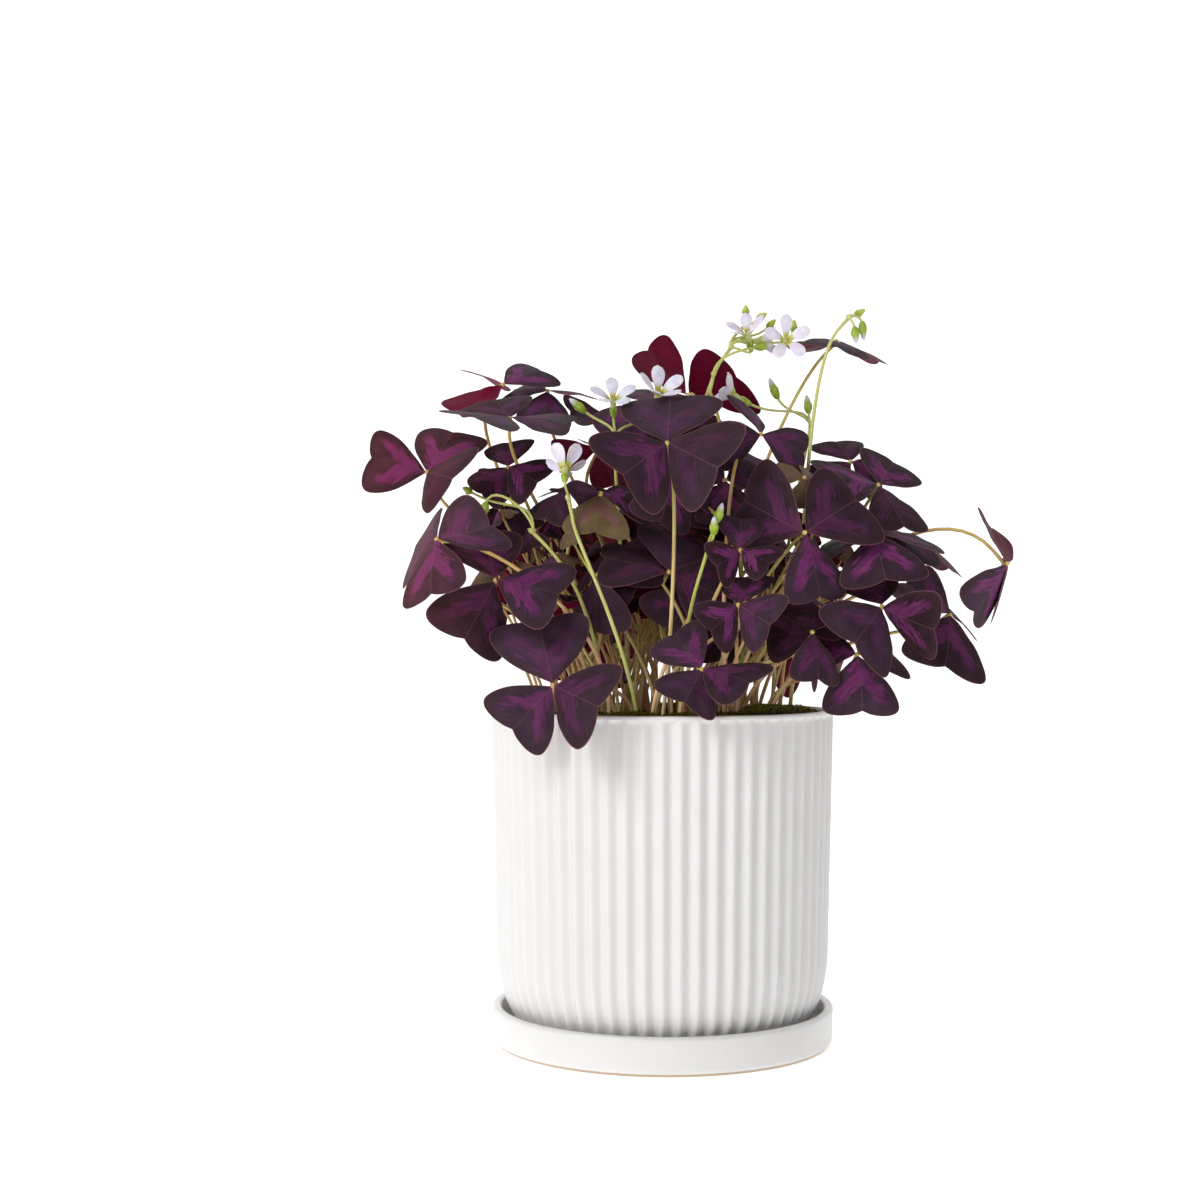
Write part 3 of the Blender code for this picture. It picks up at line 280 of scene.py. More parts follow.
# Damp peat: almost black brown, dull, with lighter dry fibres
peat, put = finish("damp potting peat", {"Roughness": 0.95, "IOR": 1.4})
place = put("TexCoord", out=3)
fibres = put("TexNoise", {"Vector": place, "Scale": 1 / (1.8 * MM), "Detail": 6.0, "Roughness": 0.7})
damp = put("MapRange", fibres, 0.42, 0.68)
brown = put("Mix", {0: damp, 6: "1B1410", 7: "4C3A28"}, **COLOUR)
coat(peat, brown, fibres, 0.8, 0.6 * MM)

points = [(0.0, 0.0, ground(0.0, 0.0))]
for ring in range(1, SOIL_RINGS + 1):
    reach = SOIL_RADIUS * ring / SOIL_RINGS
    for side in range(SOIL_SIDES):
        x = reach * math.cos(math.tau * side / SOIL_SIDES)
        y = reach * math.sin(math.tau * side / SOIL_SIDES)
        points.append((x, y, ground(x, y)))
wall = [(corner_radius(POT_SHOULDER) - POT_WALL - 0.6 * MM, POT_SHOULDER + 1 * MM), (54 * MM, 12 * MM)]
for radius, height in wall:
    points += [(radius * math.cos(math.tau * side / SOIL_SIDES),
                radius * math.sin(math.tau * side / SOIL_SIDES), height) for side in range(SOIL_SIDES)]
faces = ringed_faces(SOIL_RINGS + len(wall), SOIL_SIDES)
faces.append(tuple(reversed(range(len(points) - SOIL_SIDES, len(points)))))
draw = random.Random(CRUMB_SEED)
for crumb in range(CRUMBS):
    turn = draw.uniform(0, math.tau)
    reach = SOIL_RADIUS * 0.98 * math.sqrt(draw.random())
    x, y = reach * math.cos(turn), reach * math.sin(turn)
    size = draw.uniform(*CRUMB_SIZES) * MM
    middle = np.array((x, y, ground(x, y) + 0.2 * size))
    faces += [tuple(len(points) + k for k in face) for face in CRUMB_FACES]
    points += [tuple(middle + np.array(corner) * size * draw.uniform(0.5, 1.1)
                     + np.array([draw.uniform(-0.3, 0.3) * size for axis in range(3)]))
               for corner in CRUMB_CORNERS]
soil = shaped("peat_bed", points, faces, [peat])
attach(soil, "root")
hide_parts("soil")


def grown(name, parts, finishes):
    """One object from parts: points, faces, finish number per face, flat place, rim and tone."""
    points = np.vstack([part[0] for part in parts])
    faces = []
    numbers = []
    start = 0
    for part in parts:
        faces += [tuple(start + corner for corner in face) for face in part[1]]
        numbers += list(part[2])
        start += len(part[0])
    made = shaped(name, points.tolist(), faces, finishes)
    mesh = made.data
    mesh.polygons.foreach_set("material_index", np.array(numbers, dtype=np.int32))
    flat = np.vstack([part[3] for part in parts])
    corners = np.empty(len(mesh.loops), dtype=np.int32)
    mesh.loops.foreach_get("vertex_index", corners)
    mesh.uv_layers.new(name="flat").data.foreach_set("uv", flat[corners].astype(np.float32).ravel())
    for key, place in (("rim", 4), ("tone", 5)):
        values = np.concatenate([np.broadcast_to(part[place], len(part[0])) for part in parts])
        held = mesh.attributes.new(key, "FLOAT", "POINT")
        held.data.foreach_set("value", values.astype(np.float32))
    return made


# The moss
# Living cushion moss on the soil: thousands of short upright shoots with tiny pointed leaves,
# packed close at the rim and thin towards the middle.
MOSS_SHOOTS = 9000
MOSS_SEED = 9
SHOOT_LEAVES = 5
# In mm: how high a shoot stands, and the height of cushion between bare and full cover
SHOOT_HEIGHTS = (1.3, 2.9)
COVER_HEIGHTS = (0.3, 2.6)

# Moss shoots: dark olive at the foot, bright yellow-green at the tip, dull
moss, put = finish("cushion moss", {"Roughness": 0.8, "IOR": 1.4})
up = put("Attribute", out=2, attribute_name="rim")
tone = put("Attribute", out=2, attribute_name="tone")
tips = put("Mix", {0: tone, 6: "8C8A28", 7: "C8B84C"}, **COLOUR)
shoot = put("Mix", {0: up, 6: "40410F", 7: tips}, **COLOUR)
place = put("TexCoord", out=3)
cells = put("TexNoise", {"Vector": place, "Scale": 1 / (0.5 * MM)})
coat(moss, shoot, cells, 0.3, 0.1 * MM)

draw = random.Random(MOSS_SEED)
parts = []
while len(parts) < MOSS_SHOOTS:
    turn = draw.uniform(0, math.tau)
    reach = SOIL_RADIUS * 0.985 * math.sqrt(draw.random())
    x, y = reach * math.cos(turn), reach * math.sin(turn)
    if bank(x, y) < draw.uniform(*COVER_HEIGHTS) * MM:
        continue
    tall = draw.uniform(*SHOOT_HEIGHTS) * MM
    foot = np.array((x, y, ground(x, y) - 0.3 * MM))
    lean = np.array((draw.uniform(-0.5, 0.5), draw.uniform(-0.5, 0.5), 1.0))
    top = foot + lean * tall
    points = [foot, top]
    faces = []
    rims = [0.0, 1.0]
    for leaf in range(SHOOT_LEAVES):
        angle = math.tau * (leaf / SHOOT_LEAVES + draw.uniform(-0.08, 0.08))
        out = np.array((math.cos(angle), math.sin(angle), 0.0))
        side = np.array((-math.sin(angle), math.cos(angle), 0.0)) * 0.22 * MM
        low = foot + lean * tall * (0.25 + 0.5 * leaf / SHOOT_LEAVES)
        end = low + out * draw.uniform(0.6, 1.0) * MM + np.array((0, 0, draw.uniform(0.5, 1.0) * MM))
        start = len(points)
        points += [low - side, low + side, end]
        rims += [0.25, 0.25, 0.95]
        faces.append((start, start + 1, start + 2))
    parts.append((np.array(points), faces, [0] * len(faces), np.zeros((len(points), 2)),
                  np.array(rims), draw.random() ** 1.5))
carpet = grown("moss_carpet", parts, [moss])
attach(carpet, "root")

# The placed leaves
# Each leaf is three soft leaflets on one thin stalk that comes straight out of the soil. The
# leaflets are folded a little along the midrib and notched at the end, like a heart or a wing.
EYE_DISTANCE = 862.0 * MM
EYE_HEIGHT = 189.5 * MM
# A leaflet's lobes and its arched blade: shares of its length, millimetres and angles
LEAFLET_LOBE_REACH = 0.87
LEAFLET_LOBE_HALF = 0.60
LEAFLET_BASE_HALF = 0.7 * MM
LEAFLET_BASE_REACH = 3.2 * MM
LEAFLET_FOLD = math.radians(5)
LEAFLET_BEND = math.radians(14)
LEAFLET_DROOP = math.radians(24)
LEAFLET_MOST_DROOP = math.radians(40)
LEAFLET_WIDEST = np.array(((0.86, 0.62), (0.86, -0.62)))
# How short and how long a leaflet may come out, as shares of the length in its row
LEAFLET_LENGTH_RANGE = (0.88, 1.12)
# The waves round a leaflet, each with its number, height, and least and most share of it
EDGE_WAVES = ((3, 0.012, 0.4, 1.3), (7, 0.008, 0.3, 1.0))
LOBE_SAG = 0.012
EDGE_THINNING = 0.6
CAD_HALF_THICKNESS = 0.375 * MM
BLADE_HALF_THICKNESS = 0.25 * MM
STEM_SINK = 9.0 * MM
STALK_RADIUS = 0.95 * MM
STALK_TAPER = 0.82
JOINT_RADII = (0.95 * MM, 1.1 * MM, 1.0 * MM, 0.45 * MM)
NECK = 9.0 * MM
# A direction that no stalk runs in, from which the points round it are counted
OFF_STALK = (0.31, 0.93, 0.17)
# The arch of a stalk: its rise and spread as shares of its reach, the longest arm that it
# arrives with, and the share of its bow that is left there
STALK_RISE = 0.42
STALK_SPREAD = 0.10
STALK_LONGEST_ARM = 110 * MM
BOW_LEFT = 0.6
DEPTH_STEP = 2.5 * MM
DEPTH_SHIFTS = [0.0] + [sign * step * DEPTH_STEP for step in range(1, 25) for sign in (-1, 1)]
ARMS = (0.32, 0.18, 0.48)
BOW_RINGS = (6, 12, 18, 25, 33, 42)
BOW_TURNS = 10
ROUTE_SHAPES = [(arm, 0.0, 0.0) for arm in ARMS]
ROUTE_SHAPES += [(arm, reach * MM * math.cos(math.tau * k / BOW_TURNS),
                  reach * MM * math.sin(math.tau * k / BOW_TURNS))
                 for reach in BOW_RINGS for k in range(BOW_TURNS) for arm in ARMS]
HALF_OUTLINE = np.array(((0.03, 0.012), (0.10, 0.105), (0.22, 0.245), (0.42, 0.448), (0.61, 0.568),
                         (0.77, 0.622), (0.872, 0.612), (0.94, 0.525), (0.964, 0.36), (0.94, 0.15),
                         (0.888, 0.0)))
BLADE_MIDDLE = 0.55
BLADE_RINGS = np.array((0.14, 0.30, 0.46, 0.61, 0.75, 0.87, 0.95, 1.0))
LEAF_SEED = 21

# (Across, height, depth) of the hub as the viewer sees it, leaflet length, then each leaflet that
# shows, as its two lobe tips seen from the hub, clockwise for the upper face, and 1 where it leans
# to the viewer or -1 where it leans away. All in mm, one row for each of leaf_01 to leaf_37.
LEAVES = (
    ((-111, 265, -20), 32, ((-29, -8, -23, 20, 1), (24, 11, 1, -18, 1))),
    ((-75, 307, 12), 26, ((-30, -8.5, -14, -15, 1), (8, 10, 27, 0, -1), (-14.3, 4.9, 0.7, -2, -1))),
    ((-72, 291, -12), 32, ((-23.5, 3, 9.5, 10.5, -1), (0.5, -6, -32, 3, 1))),
    ((-54, 304, 24), 24, ((10, -16, -14, -13, 1), (9, -2, 23, -4, -1))),
    ((-72.6, 268, -18), 23, ((-10, 7, 11, 11.5, -1), (-4, -18.5, -18, -6, 1),
      (22.5, 1.5, 5, -17.5, 1))),
    ((-30, 276, 8), 25, ((-20, 4, -16, -9, -1),)),
    ((2.5, 279, -58), 38, ((-6, -32.5, -36, 1.5, 1), (36, 7, 12, -31.5, 1), (-22, 18, 26, 20.5, -1))),
    ((-1, 296, -8), 32, ((-19, 7.5, 19, 4, -1),)),
    ((-28.8, 255.5, -48), 26, ((12.5, -20.5, -17.5, -17, 1), (-19, 1, -9, 4.5, 1),
      (14, 2, 19, -14, -1))),
    ((-106.5, 234, -70), 34, ((14, 20, 35, -4, 1), (13, -20, -15.5, -32, 1),
      (-16.5, -23.5, 1, 14, -1))),
    ((-78.7, 214.5, -62), 36, ((37.5, 6, 20, -22.5, 1), (1.5, -38, -32, -16, 1), (-17, 13, 8, 15, -1))),
    ((-30.6, 217, -36), 31, ((15.5, -23.5, -12.5, -30.5, 1),)),
    ((-51.4, 164.8, -76), 36, ((-30, 24, 16, 32.5, -1), (-6, -32, -31.5, -7, 1),
      (31.5, 8, 12, -29, 1))),
    ((3.3, 218, -52), 31, ((-33, -6, -31, 15, 1), (20, 3, 12, -20, -1))),
    ((18.8, 172.5, -74), 28, ((-22.5, 7, -1, 21, -1), (4.5, -23.5, -22, -8, 1), (35, 1, 11, -17.5, 1))),
    ((67, 236.6, -58), 37, ((-36, -4, -18, 34.5, -1), (9, 31, 37.5, -3, -1),
      (19, -28.5, -8.5, -31, 1))),
    ((101.5, 259, -24), 31, ((-16, -8, -31, 12, 1), (23, -21, -2, -20, 1), (-7, 16, 18.5, 1, -1))),
    ((88.6, 270, 0), 25, ((-17, 6, 4, 8, -1),)),
    ((99, 236.6, -40), 34, ((25, -20, -14, -25, 1),)),
    ((103, 202, -62), 37, ((1.2, -33, -29, -3, 1), (24, 5, 21.5, -23, 1), (-16, 8, 3, 9, -1))),
    ((135, 198, -40), 34, ((15, -32, -22, -17.5, 1), (-22, 8, -8, 17.5, 1), (-16, 14, 12, -12, -1))),
    ((161.6, 222, -10), 32, ((-12.5, -30, -21, -12, 1), (1.5, 9, -13.5, 26, -1), (-3, 1, -8, -28, -1))),
    ((118, 236, -14), 27, ((8, -15.5, 22, -20, -1),)),
    ((91.5, 179.5, -46), 30, ((18.5, -26.5, -15.5, -26, 1),)),
    ((70.7, 190, -52), 25, ((12, -24, -10, -20, 1), (-12, 8, 14, 9, -1))),
    ((36.8, 228.4, -62), 20, ((-6.5, -17.5, -16.5, 2.5, 1), (20, 0, 7, -14, 1))),
    ((35.8, 202.7, -66), 25, ((-5.5, -22.5, -21, -1.5, 1), (23, 3, 7.5, -22, 1), (-6, 9, 14, 10, -1))),
    ((67, 207, -38), 28, ((16.5, -20, -15, -15, 1),)),
    ((12.2, 301.7, 32), 35, ((-9.5, 28, -25.5, 14.5, 1), (33.5, -8, 9, 20.5, 1))),
    ((82, 327, 18), 26, ((15, -9, -15, -1, 1), (-21, -1, -13, -5, 1), (15, -11, 23, -11, -1))),
    ((46.6, 283, -22), 26, ((21.5, 0, 16.5, -20, -1), (-13, -13, -14, 4, 1), (-15.5, 17.5, -1, 8, -1))),
    ((29.7, 261.6, -22), 25, ((11, -16.5, -12, -16.5, 1),)),
    ((67, 262.5, -36), 19, ((8, -13, -7, -11, 1),)),
    ((8.5, 257, -28), 27, ((14.5, -18, -14, -15, 1),)),
    ((-74.5, 250.3, -28), 21, ((1, -17, -10, -7, 1), (19, -8, 5, -17, 1))),
    ((-44.8, 257, -28), 23, ((-1, -15, -16, -10, 1),)),
    ((-26, 292, -10), 23, ((-14, -4, -20, 10, -1), (15.5, -4, 4, -9, 1), (-9, -3, 10, -3, -1))),
)
# Leaflets that are young and still olive brown, by the number of the leaf
YOUNG = {9: (0,), 33: (0, 1, 2)}


def unit(vector):
    """The vector at length one."""
    return vector / np.linalg.norm(vector)


def spot(across, height, depth):
    """A point seen at (across, height) against the pot's axis, that lies depth behind it."""
    spread = 1 + depth / EYE_DISTANCE
    return np.array((across * spread, depth, EYE_HEIGHT + (height - EYE_HEIGHT) * spread))


def drooped(outward, axis, droop, length):
    """A leaflet that points outward from an axis and droops by an angle."""
    return (math.cos(droop) * outward - math.sin(droop) * axis,
            math.cos(droop) * axis + math.sin(droop) * outward, length)


def leaflet_from_tips(tips, size, spread):
    """Turns two seen lobe tips into the leaflet's place: midrib, upward normal and length."""
    ax, az, bx, bz, lean = tips
    fold_half = LEAFLET_LOBE_HALF * math.cos(LEAFLET_FOLD)
    side = np.array((bx - ax, bz - az)) / (2 * fold_half)
    along = np.array((ax + bx, az + bz)) / (2 * LEAFLET_LOBE_REACH)
    difference = along @ along - side @ side
    product = -(side @ along)
    side_depth = math.sqrt(max(0.0, (difference + math.hypot(difference, 2 * product)) / 2))
    along_depth = math.sqrt(max(0.0, (-difference + math.hypot(difference, 2 * product)) / 2))
    along_y = -lean * along_depth
    side_y = side_depth * (1 if product * along_y > 0 else -1)
    midrib = np.array((along[0], along_y, along[1]))
    lateral = np.array((side[0], side_y, side[1]))
    shortest, longest = (share * size for share in LEAFLET_LENGTH_RANGE)
    length = min(max(np.linalg.norm(midrib), shortest), longest)
    midrib = unit(midrib)
    lateral = unit(lateral - (lateral @ midrib) * midrib)
    normal = np.cross(lateral, midrib)
    raise_angle = math.atan(LEAFLET_LOBE_HALF * math.sin(LEAFLET_FOLD) / LEAFLET_LOBE_REACH)
    return drooped(midrib, normal, -raise_angle, length * MM * spread)


def swung(vector, axis, angle):
    """The vector turned round a unit axis."""
    cosine = math.cos(angle)
    sine = math.sin(angle)
    return vector * cosine + np.cross(axis, vector) * sine + axis * (axis @ vector) * (1 - cosine)


def sighted(vector, hub):
    """Turns a vector from the level line of sight to the one that runs from the eye to the hub."""
    sight = unit(hub - np.array((0.0, -EYE_DISTANCE, EYE_HEIGHT)))
    return swung(vector, unit(np.array((sight[2], 0.0, -sight[0]))), math.acos(sight[1]))


def leaf_axis(leaflets):
    """The direction that a leaf faces."""
    return unit(sum(normal for midrib, normal, length in leaflets))


def completed(leaflets):
    """Adds the leaflets that don't show, a third of a turn apart round the leaf's own axis."""
    if len(leaflets) == 3:
        return leaflets
    if len(leaflets) == 1:
        midrib, normal, length = leaflets[0]
        axis = math.cos(LEAFLET_DROOP) * normal - math.sin(LEAFLET_DROOP) * midrib
        return leaflets + [(swung(midrib, axis, turn), swung(normal, axis, turn), length)
                           for turn in (math.tau / 3, -math.tau / 3)]
    axis = leaf_axis(leaflets)
    droop = -sum(math.asin(midrib @ axis) for midrib, normal, length in leaflets) / 2
    droop = min(max(droop, 0.0), LEAFLET_MOST_DROOP)
    outward = unit(-sum(midrib - (midrib @ axis) * axis for midrib, normal, length in leaflets))
    return leaflets + [drooped(outward, axis, droop, sum(leaflet[2] for leaflet in leaflets) / 2)]


def on_leaflet(hub, leaflet, flat):
    """Flat leaflet places put on the leaflet, arched along its midrib and folded down from it."""
    midrib, normal, length = leaflet
    lateral = np.cross(midrib, normal)
    start = -LEAFLET_BEND / 2
    x, y = flat[:, 0:1], flat[:, 1:2]
    slope = start + LEAFLET_BEND * x
    along = (np.sin(slope) - math.sin(start)) / LEAFLET_BEND
    rise = (np.cos(slope) - math.cos(start)) / LEAFLET_BEND
    lift = np.cos(slope) * normal + np.sin(slope) * midrib
    return hub + length * (along * midrib + rise * normal + y * math.cos(LEAFLET_FOLD) * lateral
                           - abs(y) * math.sin(LEAFLET_FOLD) * lift)


def leaf_foot(hub, leaflets):
    """The middle of the three leaflets' bases, where the stalk ends."""
    bases = [on_leaflet(hub, leaflet, np.array(((LEAFLET_BASE_REACH, LEAFLET_BASE_HALF),
                                                (LEAFLET_BASE_REACH, -LEAFLET_BASE_HALF))) / leaflet[2])
             for leaflet in leaflets]
    return np.mean(np.vstack(bases), axis=0)


def lobe_tips(hub, leaflets):
    """The six widest places of a leaf."""
    return np.vstack([on_leaflet(hub, leaflet, LEAFLET_WIDEST) for leaflet in leaflets])


def misfit(places, distance, corners):
    """How far places are from lying at one distance from the nearest of a solid's corners."""
    nearest = np.linalg.norm(places[:, None, :] - corners[None, :, :], axis=2).min(axis=1)
    return np.abs(nearest - distance).sum()


def root_of(corners):
    """The middle of the corners at the root's depth that lie inside the pot."""
    depth = np.abs(corners[:, 2] - (SOIL_TOP - STEM_SINK))
    inside = np.hypot(corners[:, 0], corners[:, 1]) < SOIL_RADIUS
    return corners[(depth < 0.05 * MM) & inside].mean(axis=0)


def corners_of(node):
    """The corners of a solid as an array."""
    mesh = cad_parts[node].data
    corners = np.empty(len(mesh.vertices) * 3)
    mesh.vertices.foreach_get("co", corners)
    return corners.reshape(-1, 3)


def shifted_spot(hub, shift):
    """The hub moved along the line of sight by a depth."""
    spread = (EYE_DISTANCE + hub[1] + shift) / (EYE_DISTANCE + hub[1])
    return np.array((hub[0] * spread, hub[1] + shift, EYE_HEIGHT + (hub[2] - EYE_HEIGHT) * spread))


def bezier(a, b, c, d, steps):
    """Points along a cubic curve."""
    return [(1 - t) ** 3 * a + 3 * (1 - t) ** 2 * t * b + 3 * (1 - t) * t ** 2 * c + t ** 3 * d
            for t in np.linspace(0, 1, steps)]


def stalk_route(base, hub, axis, shape, steps):
    """A stalk's centre line: up out of the soil, out in an arch, and up to the hub."""
    above = base + np.array((0, 0, STEM_SINK + 1.0 * MM))
    reach = np.linalg.norm(hub - above)
    rise = (above + np.array((0, 0, STALK_RISE * reach))
            + STALK_SPREAD * (hub - above) * (1, 1, 0))
    arm, bow_x, bow_y = shape
    arrive = hub - axis * min(arm * reach, STALK_LONGEST_ARM * arm)
    bow = np.array((bow_x, bow_y, 0.0))
    return bezier(above, rise + bow, arrive + BOW_LEFT * bow, hub - axis * NECK, steps)


def route_to(base, hub, axis, radius, corners, steps=22):
    """The smooth centre line that runs inside the stalk of a solid."""
    shape = min(ROUTE_SHAPES, key=lambda one: misfit(
        np.array(stalk_route(base, hub, axis, one, 5)[1:4]), radius, corners))
    return [base] + stalk_route(base, hub, axis, shape, steps) + [hub]


def tube(centres, radii, sides, number, tone):
    """A round stalk through the centres, as a part for grown(): rim runs from foot to tip."""
    centres = np.array(centres)
    tangents = np.gradient(centres, axis=0)
    across = np.cross(tangents[0], OFF_STALK)
    turns = np.arange(sides) * math.tau / sides
    points = []
    for centre, tangent, radius in zip(centres, tangents, radii):
        tangent = unit(tangent)
        across = unit(across - (across @ tangent) * tangent)
        other = np.cross(tangent, across)
        circle = np.cos(turns)[:, None] * across + np.sin(turns)[:, None] * other
        points.append(centre + radius * circle)
    faces = []
    for ring in range(len(centres) - 1):
        faces += band(ring * sides, (ring + 1) * sides, sides)
    faces.append(tuple(reversed(range(sides))))
    faces.append(tuple(range((len(centres) - 1) * sides, len(centres) * sides)))
    along = np.repeat(np.linspace(0, 1, len(centres)), sides)
    flat = np.stack((along, np.tile(turns / math.tau, len(centres))), axis=1)
    return np.vstack(points), faces, [number] * len(faces), flat, along, tone


def smooth_line(corners, steps):
    """A smooth line through the corners, with so many steps between each two."""
    padded = np.vstack((2 * corners[0] - corners[1], corners, 2 * corners[-1] - corners[-2]))
    line = []
    for a, b, c, d in zip(padded, padded[1:], padded[2:], padded[3:]):
        for t in np.arange(steps) / steps:
            line.append(0.5 * (2 * b + (c - a) * t + (2 * a - 5 * b + 4 * c - d) * t ** 2
                               + (3 * b - a - 3 * c + d) * t ** 3))
    return np.vstack((line, corners[-1:]))


def sheet_part(points, faces, edge, half, numbers, flat, rim, tone):
    """A thin solid on a sheet, as a part for grown(): upper face, underside and rim."""
    normals = np.zeros_like(points)
    for a, b, c in (faces[:, :3].T, faces[:, [0, 2, 3]].T):
        turned = np.cross(points[b] - points[a], points[c] - points[a])
        for corner in (a, b, c):
            np.add.at(normals, corner, turned)
    normals /= np.linalg.norm(normals, axis=1)[:, None] + 1e-12
    upper = points + normals * half
    under = points - normals * half
    count = len(points)
    low = 2 * count
    loop = len(edge)
    listed = [tuple(face) if face[3] != face[2] else tuple(face[:3]) for face in faces.tolist()]
    every = listed + [tuple(count + corner for corner in reversed(face)) for face in listed]
    every += band(low, low + loop, loop, False)
    solid = np.vstack((upper, under, upper[edge], under[edge]))
    kinds = [numbers[0]] * len(listed) + [numbers[1]] * len(listed) + [numbers[0]] * loop
    return (solid, every, kinds, np.vstack((flat, flat, flat[edge], flat[edge])),
            np.concatenate((rim, rim, rim[edge], rim[edge])), tone)


def leaflet_grid(rings, steps):
    """A flat leaflet of one unit's length: places, share of the way to the rim, faces and edge."""
    half_line = smooth_line(HALF_OUTLINE, steps)
    outline = np.vstack((half_line, half_line[-2::-1] * (1, -1)))
    flat = np.vstack([[(BLADE_MIDDLE, 0.0)]] + [
        (BLADE_MIDDLE, 0.0) + share * (outline - (BLADE_MIDDLE, 0.0)) for share in rings])
    rim = np.concatenate(([0.0], np.repeat(rings, len(outline))))
    faces = np.array([face if len(face) == 4 else face + face[2:]
                      for face in ringed_faces(len(rings), len(outline))])
    return flat, rim, faces, np.arange(len(flat) - len(outline), len(flat))


FULL_GRID = leaflet_grid(BLADE_RINGS, 3)


def leaflet_part(hub, leaflet, chance, finish_number, grid=FULL_GRID):
    """One leaflet with gentle waves towards its edge, as a part for grown()."""
    flat, rim, faces, edge = grid
    points = on_leaflet(hub, leaflet, flat)
    round_middle = np.arctan2(flat[:, 1], flat[:, 0] - BLADE_MIDDLE)
    wave = sum(height * np.sin(count * round_middle + chance.uniform(0, 6)) * chance.uniform(*shares)
               for count, height, *shares in EDGE_WAVES)
    wave -= LOBE_SAG * (np.abs(flat[:, 1]) / LEAFLET_LOBE_HALF) ** 3
    points = points + (leaflet[2] * wave * rim ** 2)[:, None] * leaflet[1]
    half = (BLADE_HALF_THICKNESS * (1 - EDGE_THINNING * rim ** 4))[:, None]
    return sheet_part(points, faces, edge, half, (finish_number, 1), flat, rim, chance.random())


# Centre lines and blades of the leaves made so far, which later young leaves keep clear of
standing = []


def leaf_parts(hub, leaflets, route, chance, young=()):
    """A whole leaf: stalk, the small round joint under the leaflets, and the leaflets."""
    end = route[-1]
    joint = unit(hub - end) if np.linalg.norm(hub - end) > 0.2 * MM else leaf_axis(leaflets)
    line = list(route) + [end + joint * 0.6 * MM, hub + joint * 0.3 * MM, hub + joint * 0.7 * MM]
    radii = list(np.linspace(1.0, STALK_TAPER, len(route))[:-1] * STALK_RADIUS)
    parts = [tube(line, radii + list(JOINT_RADII), 9, 2, chance.random())]
    standing.append(np.array(line))
    for place, leaflet in enumerate(leaflets):
        part = leaflet_part(hub, leaflet, chance, 3 if place in young else 0)
        parts.append(part)
        standing.append(part[0][:len(FULL_GRID[0]):3])
    return parts


# The chevron's outer and inner side: slope, start, on which side of the line, fraying and softness
CHEVRON_SIDES = ((0.66, 0.01, "SUBTRACT", 0.55, 0.07), (-1.0, 0.47, "ADD", 0.4, 0.06))
VEIN_SLANT = 0.85


